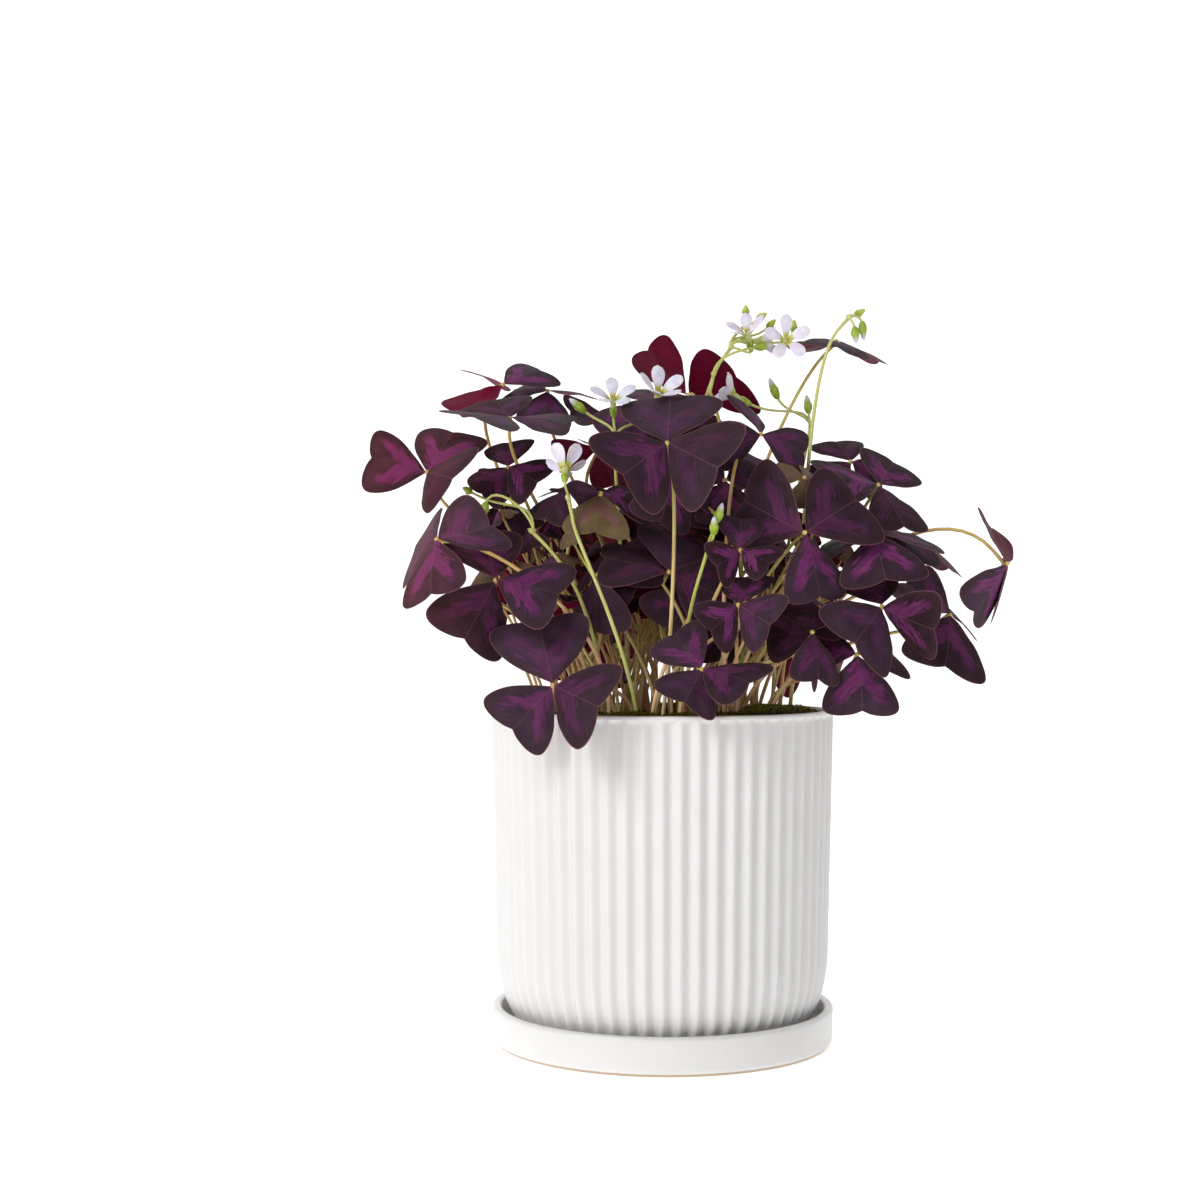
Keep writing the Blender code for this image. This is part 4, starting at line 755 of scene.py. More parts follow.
def leaf_skin(name, dark, deep, lit_left_red, edge_tint, blotch, bright, lit_left_pink, rim_red, shine,
              patch_share):
    """Living leaf surface: a dark ground, a paler chevron with frayed edges whose arms run from
    the midrib to the two lobes, fine veins and a thin red rim, under a dull waxy sheen. Leaves at
    the left of the clump, towards the lamp, get a painted highlight: their ground and chevron are
    painted lighter and redder."""
    made, put = finish(name, {"IOR": 1.42, "Specular IOR Level": 0.12})
    flat = put("UVMap", uv_map="flat")
    x = put("SeparateXYZ", flat)
    y = x.node.outputs[1]
    tone = put("Attribute", out=2, attribute_name="tone")
    rim = put("Attribute", out=2, attribute_name="rim")
    off = put("Math", y, operation="ABSOLUTE")
    back = put("Math", off, -VEIN_SLANT, x, operation="MULTIPLY_ADD")
    forth = put("Math", off, VEIN_SLANT, x, operation="MULTIPLY_ADD")
    seed = put("Math", tone, 40.0, operation="MULTIPLY")
    side = put("Math", y, operation="SIGN")
    apart = put("Math", side, 9.0, seed, operation="MULTIPLY_ADD")
    across_veins = put("Math", back, 15.0, operation="MULTIPLY")
    along_veins = put("Math", forth, 3.0, operation="MULTIPLY")
    veined = put("CombineXYZ", across_veins, along_veins, apart)
    streak = put("TexNoise", {"Vector": veined, "Scale": 1.0, "Detail": 3.0, "Roughness": 0.6})
    frayed = put("Math", streak, -0.5, operation="ADD")
    cloudy = put("CombineXYZ", x, y, seed)
    cloud = put("TexNoise", {"Vector": cloudy, "Scale": 4.0, "Detail": 3.0})
    end_frayed = put("Math", frayed, 0.7, forth, operation="MULTIPLY_ADD")
    before = put("MapRange", end_frayed, 1.2, 1.0)
    sides = []
    for slope, start, way, fray, soft in CHEVRON_SIDES:
        line = put("Math", x, slope, start, operation="MULTIPLY_ADD")
        beyond = put("Math", line, off, operation=way)
        beyond_frayed = put("Math", frayed, fray, beyond, operation="MULTIPLY_ADD")
        sides.append(put("MapRange", beyond_frayed, 0.0, soft))
    both = put("Math", *sides, operation="MULTIPLY")
    patch = put("Math", both, before, operation="MULTIPLY")
    odd = put("Math", tone, 7.31, operation="MULTIPLY")
    chance_share = put("Math", odd, operation="FRACT")
    strength = put("MapRange", {0: chance_share, 3: 0.1 * patch_share, 4: patch_share})
    share = put("Math", patch, strength, operation="MULTIPLY")
    ground_colour = put("Mix", {0: tone, 6: dark, 7: deep}, **COLOUR)
    # Painted highlight: leaves at the left of the clump, towards the lamp, have their ground and
    # chevron painted lighter and redder
    place = put("TexCoord", out=3)
    sideways = put("SeparateXYZ", place)
    lit_left_share = put("MapRange", sideways, -70 * MM, -125 * MM, 0.0, 0.75)
    ground_colour = put("Mix", {0: lit_left_share, 6: ground_colour, 7: lit_left_red}, **COLOUR)
    clouded = put("MapRange", cloud, 0.3, 0.7, 0.72, 1.3)
    mottled = put("VectorMath", {0: ground_colour, "Scale": clouded}, operation="SCALE")
    margin = put("MapRange", rim, 0.7, 0.97, 0.0, 0.55)
    tinted = put("Mix", {0: margin, 6: mottled, 7: edge_tint}, **COLOUR)
    glow = put("MapRange", streak, 0.35, 0.65)
    violet = put("Mix", {0: glow, 6: blotch, 7: bright}, **COLOUR)
    violet = put("Mix", {0: lit_left_share, 6: violet, 7: lit_left_pink}, **COLOUR)
    painted = put("Mix", {0: share, 6: tinted, 7: violet}, **COLOUR)
    vein_place = put("Math", back, 10.0, operation="MULTIPLY")
    vein = put("Math", vein_place, 0.5, operation="PINGPONG")
    vein_line = put("MapRange", vein, 0.06, 0.0, 0.0, 0.1)
    midrib = put("MapRange", off, 0.011, 0.003, 0.0, 0.3)
    lines = put("Math", vein_line, midrib, operation="MAXIMUM")
    lined = put("Mix", {0: lines, 6: painted, 7: rim_red}, **COLOUR)
    edge = put("MapRange", rim, 0.972, 0.994, 0.0, 0.65)
    edged = put("Mix", {0: edge, 6: lined, 7: rim_red}, **COLOUR)
    gloss = put("MapRange", cloud, 0.3, 0.7, shine - 0.05, shine + 0.07)
    groove = put("Math", lines, -1.0, streak, operation="MULTIPLY_ADD")
    coat(made, edged, groove, 0.3, 0.3 * MM, gloss)
    return made


# The third and seventh colours of each leaf skin are painted highlight colours for leaves at the
# lamp-lit left of the clump
upper_skin = leaf_skin("purple shamrock leaf, upper face", "2C1820", "42303F", "62323C", "3F2B2D",
                       "5F2858", "80376F", "A03C72", "865460", 0.6, 1.0)
under_skin = leaf_skin("purple shamrock leaf, underside", "520520", "760930", "760930", "5A0C28",
                       "7C1038", "6C0E30", "7C1038", "8E3048", 0.6, 0.5)
young_skin = leaf_skin("young shamrock leaf", "62523A", "6E5D40", "6E5D40", "66563C",
                       "745048", "80565C", "80565C", "94704E", 0.5, 0.8)

# Leaf stalk: smooth and juicy, pink at the foot, straw and green higher up
stalk_skin, put = finish("shamrock stalk", {"Roughness": 0.42, "IOR": 1.42})
up = put("Attribute", out=2, attribute_name="rim")
tone = put("Attribute", out=2, attribute_name="tone")
place = put("TexCoord", out=3)
blush = put("TexNoise", {"Vector": place, "Scale": 1 / (16 * MM), "Detail": 3.0})
low = put("Mix", {0: tone, 6: "F6C89C", 7: "F4E2A6"}, **COLOUR)
high = put("Mix", {0: tone, 6: "DDB66C", 7: "D0C868"}, **COLOUR)
climb = put("MapRange", up, 0.1, 0.7)
straw = put("Mix", {0: climb, 6: low, 7: high}, **COLOUR)
blushed = put("MapRange", blush, 0.52, 0.78, 0.0, 0.45)
pink = put("Mix", {0: blushed, 6: straw, 7: "BC6C58"}, **COLOUR)
ridges = put("TexNoise", {"Vector": place, "Scale": 1 / (0.6 * MM)})
coat(stalk_skin, pink, ridges, 0.15, 0.1 * MM)

LEAF_FINISHES = (upper_skin, under_skin, stalk_skin, young_skin)
chance = random.Random(LEAF_SEED)
for number, ((across, height, depth), size, tips_list) in enumerate(LEAVES, 1):
    name = f"leaf_{number:02d}"
    spread = 1 + depth * MM / EYE_DISTANCE
    seen_at = spot(across * MM, height * MM, depth * MM)
    leaflets = [(sighted(midrib, seen_at), sighted(normal, seen_at), length) for midrib, normal, length
                in completed([leaflet_from_tips(tips, size, spread) for tips in tips_list])]
    corners = corners_of(name)
    shift = min(DEPTH_SHIFTS, key=lambda one: misfit(
        lobe_tips(shifted_spot(seen_at, one), leaflets), CAD_HALF_THICKNESS, corners))
    hub = shifted_spot(seen_at, shift)
    base = root_of(corners)
    route = route_to(base, leaf_foot(hub, leaflets), leaf_axis(leaflets), STALK_RADIUS, corners)
    leaf = grown(name + "_blades", leaf_parts(hub, leaflets, route, chance, YOUNG.get(number, ())),
                 LEAF_FINISHES)
    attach(leaf, "root")
    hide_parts(name)

# The leaf tufts
# Inside and at the back the leaves grow in four tufts, several stalks from one swollen crown at
# the soil. They are the same leaves as the placed ones, a little smaller.
CROWNS = ((-38, 36), (-13, 50), (16, 50), (42, 34))
CROWN_RADIUS = 5.5 * MM
CROWN_RISE = 2.0 * MM
CROWN_STALK_RING = 3.4 * MM
FAR_SEED = 11
FAR_DRAWS = 900
# Count, azimuth from the viewer, height, distance from the pot's axis, tilt and leaflet length
TUFT_ROWS = (
    (6, (-110, 110), (238, 275), (5, 50), (45, 85), (24, 32)),
    (4, (-90, 90), (200, 238), (8, 52), (45, 85), (24, 32)),
    (6, (98, 262), (185, 215), (78, 104), (48, 72), (32, 38)),
    (4, (100, 260), (225, 255), (60, 90), (34, 60), (31, 37)),
    (2, (95, 265), (252, 282), (30, 75), (14, 50), (29, 34)),
)
ROOM = math.ceil(sum(row[0] for row in TUFT_ROWS) / len(CROWNS))
# How far a leaf's six lobes may lie from the skin of the tuft that it belongs to, in all
TUFT_MATCH = 0.6 * MM
# The crown's line: height in mm and share of its radius
CROWN_LINE = ((0.0, 0.7), (4.0, 1.0), (8.0, 0.95), (10.0, 0.8), (11.0, 0.5), (11.4, 0.2))


def round_leaflets(axis, side, spin, droop, size):
    """Three drooping leaflets a third of a turn apart round an axis, turned by spin from a side."""
    return [drooped(swung(side, axis, spin + turn * math.tau / 3), axis, droop, size)
            for turn in range(3)]


def spindle(foot, axis, line, long, wide, sides, number, tone):
    """A round part on an axis, as a part for grown(): line has places along it and half widths."""
    return tube([foot + axis * along * long for along, width in line],
                [width * wide for along, width in line], sides, number, tone)


upright = np.array((0.0, 0.0, 1.0))
tuft_corners = [corners_of(f"leaf_tuft_{number + 1}") for number in range(len(CROWNS))]
tuft_parts = [[] for crown in CROWNS]
tuft_counts = [0 for crown in CROWNS]
draw = random.Random(FAR_SEED)
for count, azimuths, heights, distances, tilts, sizes in TUFT_ROWS:
    for attempt in range(FAR_DRAWS):
        azimuth = math.radians(draw.uniform(*azimuths))
        level = np.array((math.sin(azimuth), -math.cos(azimuth), 0.0))
        hub = level * draw.uniform(*distances) * MM + np.array((5 * MM, 0, draw.uniform(*heights) * MM))
        azimuth += draw.uniform(-0.5, 0.5)
        level = np.array((math.sin(azimuth), -math.cos(azimuth), 0.0))
        tilt = math.radians(draw.uniform(*tilts))
        axis = math.sin(tilt) * level + math.cos(tilt) * upright
        downhill = math.cos(tilt) * level - math.sin(tilt) * upright
        leaflets = round_leaflets(axis, downhill, draw.uniform(0, math.tau / 3), LEAFLET_DROOP,
                                  draw.uniform(*sizes) * MM)
        places = lobe_tips(hub, leaflets)
        for number, corners in enumerate(tuft_corners):
            if misfit(places, CAD_HALF_THICKNESS, corners) < TUFT_MATCH:
                turn = math.tau * tuft_counts[number] / ROOM
                base = np.array((CROWNS[number][0] * MM + CROWN_STALK_RING * math.cos(turn),
                                 CROWNS[number][1] * MM + CROWN_STALK_RING * math.sin(turn),
                                 SOIL_TOP + CROWN_RISE - 2.5 * MM))
                route = route_to(base, leaf_foot(hub, leaflets), leaf_axis(leaflets), STALK_RADIUS,
                                 corners)
                tuft_parts[number] += leaf_parts(hub, leaflets, route, chance)
                tuft_counts[number] += 1
print("tuft leaves", tuft_counts)
for number, (x, y) in enumerate(CROWNS):
    middle = np.array((x * MM, y * MM, SOIL_TOP - STEM_SINK))
    crown = spindle(middle, upright, CROWN_LINE, MM, CROWN_RADIUS, 14, 2, 0.2)
    tuft = grown(f"leaf_tuft_{number + 1}_blades", [crown] + tuft_parts[number], LEAF_FINISHES)
    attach(tuft, "root")
    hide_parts(f"leaf_tuft_{number + 1}")

# The young growth
# Under the full leaves the clump is packed with thin pale stalks, each with a small leaf that is
# still folded down round its end. They come up between the older stalks and touch none of them.
YOUNG_SEED = 5
YOUNG_TRIES = 90
YOUNG_GAP = 1.7 * MM
YOUNG_STALK_RISE = 70.0
YOUNG_ROOT_REACH = 64.0 * MM
YOUNG_LEAST_HEIGHT = SOIL_TOP + 15 * MM
# How far a young stalk bows and nods at most, in mm, and how far its leaflets hang, in degrees
YOUNG_BOW = 5
YOUNG_NOD = 15
YOUNG_DROOPS = (35, 72)
# A direction that no young leaf faces, from which its leaflets are counted
OFF_YOUNG = (0.2, 0.93, 0.3)
SMALL_GRID = leaflet_grid(np.array((0.45, 0.8, 0.95, 1.0)), 1)
# Count, middle of the roots across and in depth, their spread, height over the soil, how far the
# stalk leans across and in depth, and leaflet length. All in mm.
YOUNG_ROWS = (
    (1, -17, -44, 2, (24, 27), (-2, 2), (-2, 2), (7, 8)),
    (36, -16, -18, 24, (58, 98), (-34, 20), (-18, 12), (8, 15)),
    (18, 26, -22, 15, (52, 92), (18, 46), (-14, 12), (8, 14)),
    (14, 50, -8, 10, (50, 88), (4, 26), (-18, 16), (8, 14)),
    (16, -42, 4, 16, (58, 96), (-32, 0), (-18, 24), (9, 15)),
    (44, 2, 26, 34, (55, 98), (-36, 36), (-6, 38), (10, 18)),
)


def strayed(draw, most):
    """A level step that goes at most so many mm each way."""
    return np.array((draw.uniform(-most, most), draw.uniform(-most, most), 0.0)) * MM


taken = KDTree(sum(len(line) for line in standing) * 2)
number = 0
for line in standing:
    for place, after in zip(line, np.vstack((line[1:], line[-1:]))):
        taken.insert(place, number)
        taken.insert((place + after) / 2, number + 1)
        number += 2
taken.balance()
draw = random.Random(YOUNG_SEED)
young_parts = []
own_places = []
for count, across, depth, reach, rises, leans, leans_back, sizes in YOUNG_ROWS:
    for young in range(count):
        for attempt in range(YOUNG_TRIES):
            turn = draw.uniform(0, math.tau)
            away = reach * math.sqrt(draw.random())
            foot = np.array((across + away * math.cos(turn), depth + away * math.sin(turn),
                             0.0)) * MM
            foot[2] = SOIL_TOP - 2 * MM
            rise = draw.uniform(*rises)
            share = rise / YOUNG_STALK_RISE
            top = foot + np.array((draw.uniform(*leans) * share, draw.uniform(*leans_back) * share,
                                   rise)) * MM
            size = draw.uniform(*sizes) * MM
            bow = strayed(draw, YOUNG_BOW)
            axis = unit(top - foot + strayed(draw, YOUNG_NOD))
            line = np.array(bezier(foot, foot + np.array((0, 0, 0.35 * rise * MM)) + bow,
                                   top - axis * 0.3 * rise * MM + bow, top, 12))
            side = unit(np.cross(axis, OFF_YOUNG))
            leaflets = round_leaflets(axis, side, draw.uniform(0, math.tau),
                                      math.radians(draw.uniform(*YOUNG_DROOPS)), size)
            ends = np.vstack([on_leaflet(top, leaflet, SMALL_GRID[0]) for leaflet in leaflets])
            every = np.vstack((line[2:], (line[2:] + line[1:-1]) / 2, ends[::2]))
            if math.hypot(foot[0], foot[1]) > YOUNG_ROOT_REACH or ends[:, 2].min() < YOUNG_LEAST_HEIGHT:
                continue
            if any(taken.find(place)[2] < YOUNG_GAP for place in every):
                continue
            grown_up = np.vstack(own_places) if own_places else np.ones((1, 3))
            if any(np.abs(grown_up - place).max(axis=1).min() < YOUNG_GAP for place in every[::3]):
                continue
            own_places.append(every)
            radii = np.linspace(0.8, 0.55, len(line)) * MM
            young_parts.append(tube(line, radii, 7, 2, draw.random()))
            young_parts += [leaflet_part(top, leaflet, draw, draw.choice((0, 0, 1, 3)), SMALL_GRID)
                            for leaflet in leaflets]
            break
print("young leaves", len(own_places))
young_growth = grown("young_growth", young_parts, LEAF_FINISHES)
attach(young_growth, "root")

# The flower stems
# Tall thin green stems that fork into short stalks. Each short stalk ends in a drooping bud or
# in a green cup of five sepals that holds a bloom.
PETAL_LENGTH = 11.5 * MM
THROAT_LENGTH = 6.0 * MM
SCAPE_RADIUS = 0.9 * MM
PEDICEL_RADIUS = 0.6 * MM
BUD_RADIUS = 1.75 * MM
FORK_SINK = 2.0 * MM
# Name, (across, height, depth) of the fork, the azimuth and tilt of the stem there, blooms as
# (across, height, depth, azimuth, tilt, opening, size) and buds as (across, height, depth,
# azimuth, tilt, length). Millimetres and degrees: azimuth 0 faces the viewer.
FLOWER_STEMS = (
    ("flower_stem_tall", (33, 324.5, 2), (120, 40),
     ((40.2, 330.4, -6, 335, 36, 62, 0.9), (45.6, 327.2, 12, 90, 90, 42, 0.85),
      (58.5, 327.5, -6, 8, 82, 80, 0.95)),
     ((39.5, 341.5, 12, 0, 20, 5), (47, 338.5, 10, 60, 60, 6), (51.5, 335, 16, 60, 50, 6),
      (62, 334, 6, 20, 10, 6))),
    ("flower_stem_middle", (24.5, 312, -6), (90, 12),
     (),
     ((48, 324.5, -2, 90, 82, 9),)),
    ("flower_stem_right", (88.6, 338.5, -4), (90, 42),
     (),
     ((94.5, 331.5, 0, 100, 174, 9), (91, 329.5, -6, 60, 174, 8), (93, 340, 6, 80, 62, 6))),
    ("flower_stem_left", (-62, 238, -54), (270, 45),
     (),
     ((-84, 247, -46, 330, 160, 9), (-92, 257, -20, 280, 60, 5))),
    ("flower_stem_white", (-22, 283, -30), (0, 8),
     ((-23, 299.5, -26, 0, 42, 72, 0.95), (-1.5, 302.5, -30, 20, 45, 60, 1.05)),
     ((-40, 297, -24, 300, 55, 10),)),
    ("flower_stem_side", (70, 288, 26), (60, 12),
     ((33.5, 301.5, 6, 275, 62, 58, 0.95),),
     ((52.5, 304.5, 26, 290, 25, 11), (68.5, 297, 24, 300, 8, 9))),
    ("flower_stem_low", (-44.5, 254, -60), (300, 15),
     ((-45.5, 267, -62, 180, 50, 48, 1.0),),
     ()),
    ("flower_stem_bright", (22, 230, -68), (60, 20),
     (),
     ((27, 246, -70, 60, 20, 9), (24.5, 240, -72, 0, 14, 8))),
)
# The body of a bud, its length and full width as one: place from its middle, then half width
BUD_LINE = ((-0.5, 0.42), (-0.4, 0.72), (-0.25, 0.95), (-0.1, 1.0), (0.08, 0.92), (0.25, 0.74),
            (0.38, 0.5), (0.46, 0.28), (0.5, 0.08))
# The green cup under a bloom, in mm from its foot
CUP_LINE = ((0.0, 0.75), (0.8, 1.25), (1.8, 1.5), (3.0, 1.45), (3.7, 1.3))
CUP_LENGTH = 3.65 * MM
# How far the foot of a cup lies under the throat, and its sepals: length, half width, spread
CUP_DROP = 4.0 * MM
CUP_SEPALS = (5.4 * MM, 0.95 * MM, 1.75 * MM)
# The knot where a stem forks, in mm from its middle
FORK_LINE = ((-2, 0.9), (0, 1.35), (0.9, 0.6))
# Buds longer than this are ripe and show the colour of the petals
RIPE_LENGTH = 7 * MM
# A direction that no bud or bloom faces, from which its sepals and petals are counted
OFF_FLOWER = (0.2, 0.3, 0.93)
# Half width of a stem's solid round its buds and cups
HEAD_RADIUS = 1.7 * MM
SEPALS = 5
SEPAL_HALF_THICKNESS = 0.16 * MM
SEPAL_ROWS = 6
SEPAL_COLUMNS = 3


def facing(azimuth, tilt):
    """The direction that leans by tilt to an azimuth, both in degrees."""
    azimuth = math.radians(azimuth)
    tilt = math.radians(tilt)
    return np.array((math.sin(tilt) * math.sin(azimuth), -math.sin(tilt) * math.cos(azimuth),
                     math.cos(tilt)))


def seen(place, shift=0.0):
    """The point of a row that starts with (across, height, depth) in mm, moved back by a shift."""
    return shifted_spot(spot(*(value * MM for value in place[:3])), shift)


def grid_sheet(rows, columns):
    """Faces and edge of a sheet of rows and columns of points."""
    faces = [(r * columns + c, r * columns + c + 1, (r + 1) * columns + c + 1, (r + 1) * columns + c)
             for r in range(rows - 1) for c in range(columns - 1)]
    last = (rows - 1) * columns
    edge = [*range(columns), *range(2 * columns - 1, last + columns, columns),
            *range(last + columns - 2, last - 1, -1), *range(last - columns, 0, -columns)]
    return np.array(faces), np.array(edge)


def sepal_parts(foot, axis, length, width, spread, tone):
    """Five narrow pointed sepals that hug the foot of a bud or bloom."""
    side = unit(np.cross(axis, OFF_FLOWER))
    shares = np.linspace(0, 1, SEPAL_ROWS)
    faces, edge = grid_sheet(SEPAL_ROWS, SEPAL_COLUMNS)
    along = np.repeat(shares, SEPAL_COLUMNS) * 0.5
    flat = np.stack((along, np.tile((0.0, 0.5, 1.0), SEPAL_ROWS)), axis=1)
    parts = []
    for sepal in range(SEPALS):
        outward = swung(side, axis, math.tau * sepal / SEPALS)
        lateral = np.cross(axis, outward)
        rows = []
        for share in shares:
            hug = spread * math.sin(0.35 + 1.5 * share) ** 0.8
            middle = foot + axis * length * share + outward * hug
            half = width * math.sin(math.pi * (0.2 + 0.78 * share)) + 0.05 * MM
            for across in (-1.0, 0.0, 1.0):
                rows.append(middle + lateral * half * across - outward * 0.25 * half * across ** 2)
        parts.append(sheet_part(np.array(rows), faces, edge, SEPAL_HALF_THICKNESS, (1, 1), flat,
                                along, tone))
    return parts


def stem_parts(route, start, lean, blooms, buds, shift, chance):
    """Everything green over the soil on one flower stem."""
    tone = chance.random()
    radii = list(np.linspace(1.05, 0.85, len(route) - 1) * SCAPE_RADIUS) + [SCAPE_RADIUS]
    upward = facing(*lean)
    parts = [tube(route, radii, 9, 0, tone)]
    parts.append(spindle(start, upward, FORK_LINE, MM, MM, 9, 0, tone))
    root = start - upward * FORK_SINK
    ends = []
    for place in blooms:
        size = place[6]
        axis = facing(*place[3:5])
        foot = seen(place, shift) - axis * (THROAT_LENGTH * size + CUP_DROP)
        ends.append((foot, axis))
        parts.append(spindle(foot, axis, CUP_LINE, MM, MM, 10, 1, tone))
        parts += sepal_parts(foot + axis * 0.6 * MM, axis, *CUP_SEPALS, tone)
    for place in buds:
        length = place[5] * MM
        axis = facing(*place[3:5])
        centre = seen(place, shift)
        foot = centre - axis * 0.5 * length
        ends.append((foot, axis))
        wide = BUD_RADIUS * (0.78 + 0.03 * place[5])
        ripe = length > RIPE_LENGTH
        parts.append(spindle(centre, axis, BUD_LINE, length, wide, 12, 2 if ripe else 1, tone))
        parts += sepal_parts(foot + axis * 0.2 * MM, axis, 0.5 * length, 0.8 * MM, wide * 1.08, tone)
    for end, axis in ends:
        reach = np.linalg.norm(end - root)
        line = bezier(root, root + np.array((0, 0, 0.35 * reach)), end - axis * 0.4 * reach,
                      end + axis * 1.2 * MM, 12)
        parts.append(tube(line, [PEDICEL_RADIUS] * len(line), 8, 0, tone))
    return parts


# Flower stem: pale yellow-green, smooth, blushed pink in places
scape_skin, put = finish("flower stem", {"Roughness": 0.45, "IOR": 1.42})
tone = put("Attribute", out=2, attribute_name="tone")
place = put("TexCoord", out=3)
blush = put("TexNoise", {"Vector": place, "Scale": 1 / (14 * MM), "Detail": 3.0})
blushed = put("MapRange", blush, 0.54, 0.78, 0.0, 0.45)
green = put("Mix", {0: tone, 6: "B9C25A", 7: "D2D284"}, **COLOUR)
tinted = put("Mix", {0: blushed, 6: green, 7: "B57A6C"}, **COLOUR)
hairs = put("TexNoise", {"Vector": place, "Scale": 1 / (0.5 * MM)})
coat(scape_skin, tinted, hairs, 0.2, 0.1 * MM)


def bud_skin(name, foot, tip, turn):
    """Bud and sepal skin: green at the foot, its own colour at the tip, with fine lengthwise lines."""
    made, put = finish(name, {"Roughness": 0.5, "IOR": 1.42})
    along = put("Attribute", out=2, attribute_name="rim")
    flat = put("UVMap", uv_map="flat")
    around = put("SeparateXYZ", flat, out=1)
    lines = put("Math", around, 14.0, operation="MULTIPLY")
    fine = put("Math", lines, 1.0, operation="PINGPONG")
    change = put("MapRange", along, turn - 0.15, turn + 0.15, interpolation_type="SMOOTHSTEP")
    body = put("Mix", {0: change, 6: foot, 7: tip}, **COLOUR)
    shade = put("MapRange", {0: fine, 3: 0.88, 4: 1.06})
    striped = put("VectorMath", {0: body, "Scale": shade}, operation="SCALE")
    coat(made, striped, fine, 0.2, 0.1 * MM)
    return made


sepal_skin = bud_skin("green sepal", "98B338", "BECB5C", 0.35)
tipped_skin = bud_skin("ripe shamrock bud", "A6BE48", "E6DFEF", 0.62)
STEM_FINISHES = (scape_skin, sepal_skin, tipped_skin)
shifts = {}
for name, fork, lean, blooms, buds in FLOWER_STEMS:
    corners = corners_of(name)
    # Places on the axes of the buds, or of the cups where the stem has no bud
    marks = [seen(bud) - facing(*bud[3:5]) * 0.15 * bud[5] * MM for bud in buds] or [
        seen(bloom) - facing(*bloom[3:5]) * (THROAT_LENGTH * bloom[6] + CUP_DROP - 0.5 * CUP_LENGTH)
        for bloom in blooms]
    shift = min(DEPTH_SHIFTS, key=lambda one: misfit(
        np.array([shifted_spot(mark, one) for mark in marks]), HEAD_RADIUS, corners))
    shifts[name] = shift
    start = seen(fork, shift)
    route = route_to(root_of(corners), start, facing(*lean), SCAPE_RADIUS, corners)
    stem = grown(name + "_green", stem_parts(route, start, lean, blooms, buds, shift, chance),
                 STEM_FINISHES)
    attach(stem, "root")
    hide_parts(name)

# The blooms
# A bloom is a funnel of five overlapping petals, lilac white with hair-fine violet veins, and
# green-yellow in the throat, with short yellow-tipped stamens.
PETALS = 5
PETAL_HALF = 3.1 * MM
PETAL_HALF_THICKNESS = 0.14 * MM
MOUTH_RADIUS = 1.7 * MM
PETAL_ROWS = 14
PETAL_COLUMNS = 9
STAMEN_LINE = ((0.0, 0.0), (2.2, 0.2), (3.2, 0.35), (3.7, 0.4), (4.1, 0.4))
STAMEN_RADII = np.array((0.16, 0.16, 0.2, 0.42, 0.2))
THROAT_LINE = ((-1.0, 0.8), (-0.8, 1.05), (-0.5, 1.35), (-0.2, 1.6), (0.0, 1.75))
PETAL_CLAW = 1.3 * MM
PETAL_WIDEST = 0.62
# How a petal bends along its length, as shares of its opening, how far it is cupped and twisted,
# and by how many degrees its opening may differ from that of its bloom
PETAL_BEND = (0.5, 0.62)
PETAL_CUPPING = 0.16
PETAL_TWIST = 0.22 * MM
PETAL_WOBBLE = 6
# The place on a petal that has the throat's colour
THROAT_PLACE = (0.14, 0.25)

# Petal: thin, half clear and silky, white with a lilac flush at the end
petal_skin, put = finish("lilac white petal",
                         {"Roughness": 0.5, "IOR": 1.4, "Subsurface Weight": 0.25,
                          "Subsurface Scale": 1.0 * MM, "Sheen Weight": 0.1})
flat = put("UVMap", uv_map="flat")
along = put("SeparateXYZ", flat)
across = along.node.outputs[1]
place = put("TexCoord", out=3)
flush = put("TexNoise", {"Vector": place, "Scale": 1 / (4 * MM), "Detail": 2.0})
flushed = put("MapRange", flush, 0.3, 0.75)
lilac = put("Mix", {0: flushed, 6: "F6F3FA", 7: "DFD4EE"}, **COLOUR)
throat = put("MapRange", along, 0.08, 0.3, interpolation_type="SMOOTHSTEP")
petal_colour = put("Mix", {0: throat, 6: "C6CC5C", 7: lilac}, **COLOUR)
vein_place = put("Math", across, 4.5, operation="MULTIPLY")
vein = put("Math", vein_place, 0.5, operation="PINGPONG")
vein_line = put("MapRange", vein, 0.12, 0.0, 0.0, 0.35)
fade = put("MapRange", along, 0.95, 0.3)
veins = put("Math", vein_line, fade, operation="MULTIPLY")
veined = put("Mix", {0: veins, 6: petal_colour, 7: "B79CCB"}, **COLOUR)
coat(petal_skin, veined, vein, 0.15, 0.15 * MM)

# Stamens: waxy pale green threads with grainy yellow ends
stamen_skin, put = finish("stamen", {"Roughness": 0.6, "IOR": 1.4})
up = put("Attribute", out=2, attribute_name="rim")
ended = put("MapRange", up, 0.6, 0.75)
stamen_colour = put("Mix", {0: ended, 6: "D5DDA0", 7: "D9B93C"}, **COLOUR)
grains = put("TexNoise", {"Vector": put("TexCoord", out=3), "Scale": 1 / (0.3 * MM)})
coat(stamen_skin, stamen_colour, grains, 0.3, 0.1 * MM)


def petal_half(share):
    """Half the width of a petal along its length: a narrow claw, a broad blade, a round end."""
    if share < PETAL_WIDEST:
        ease = share / PETAL_WIDEST
        return PETAL_CLAW + (PETAL_HALF - PETAL_CLAW) * ease * ease * (3 - 2 * ease)
    past = (share - PETAL_WIDEST) / (1 - PETAL_WIDEST)
    return PETAL_HALF * math.sqrt(max(0.0, 1 - past ** 2)) + 0.1 * MM


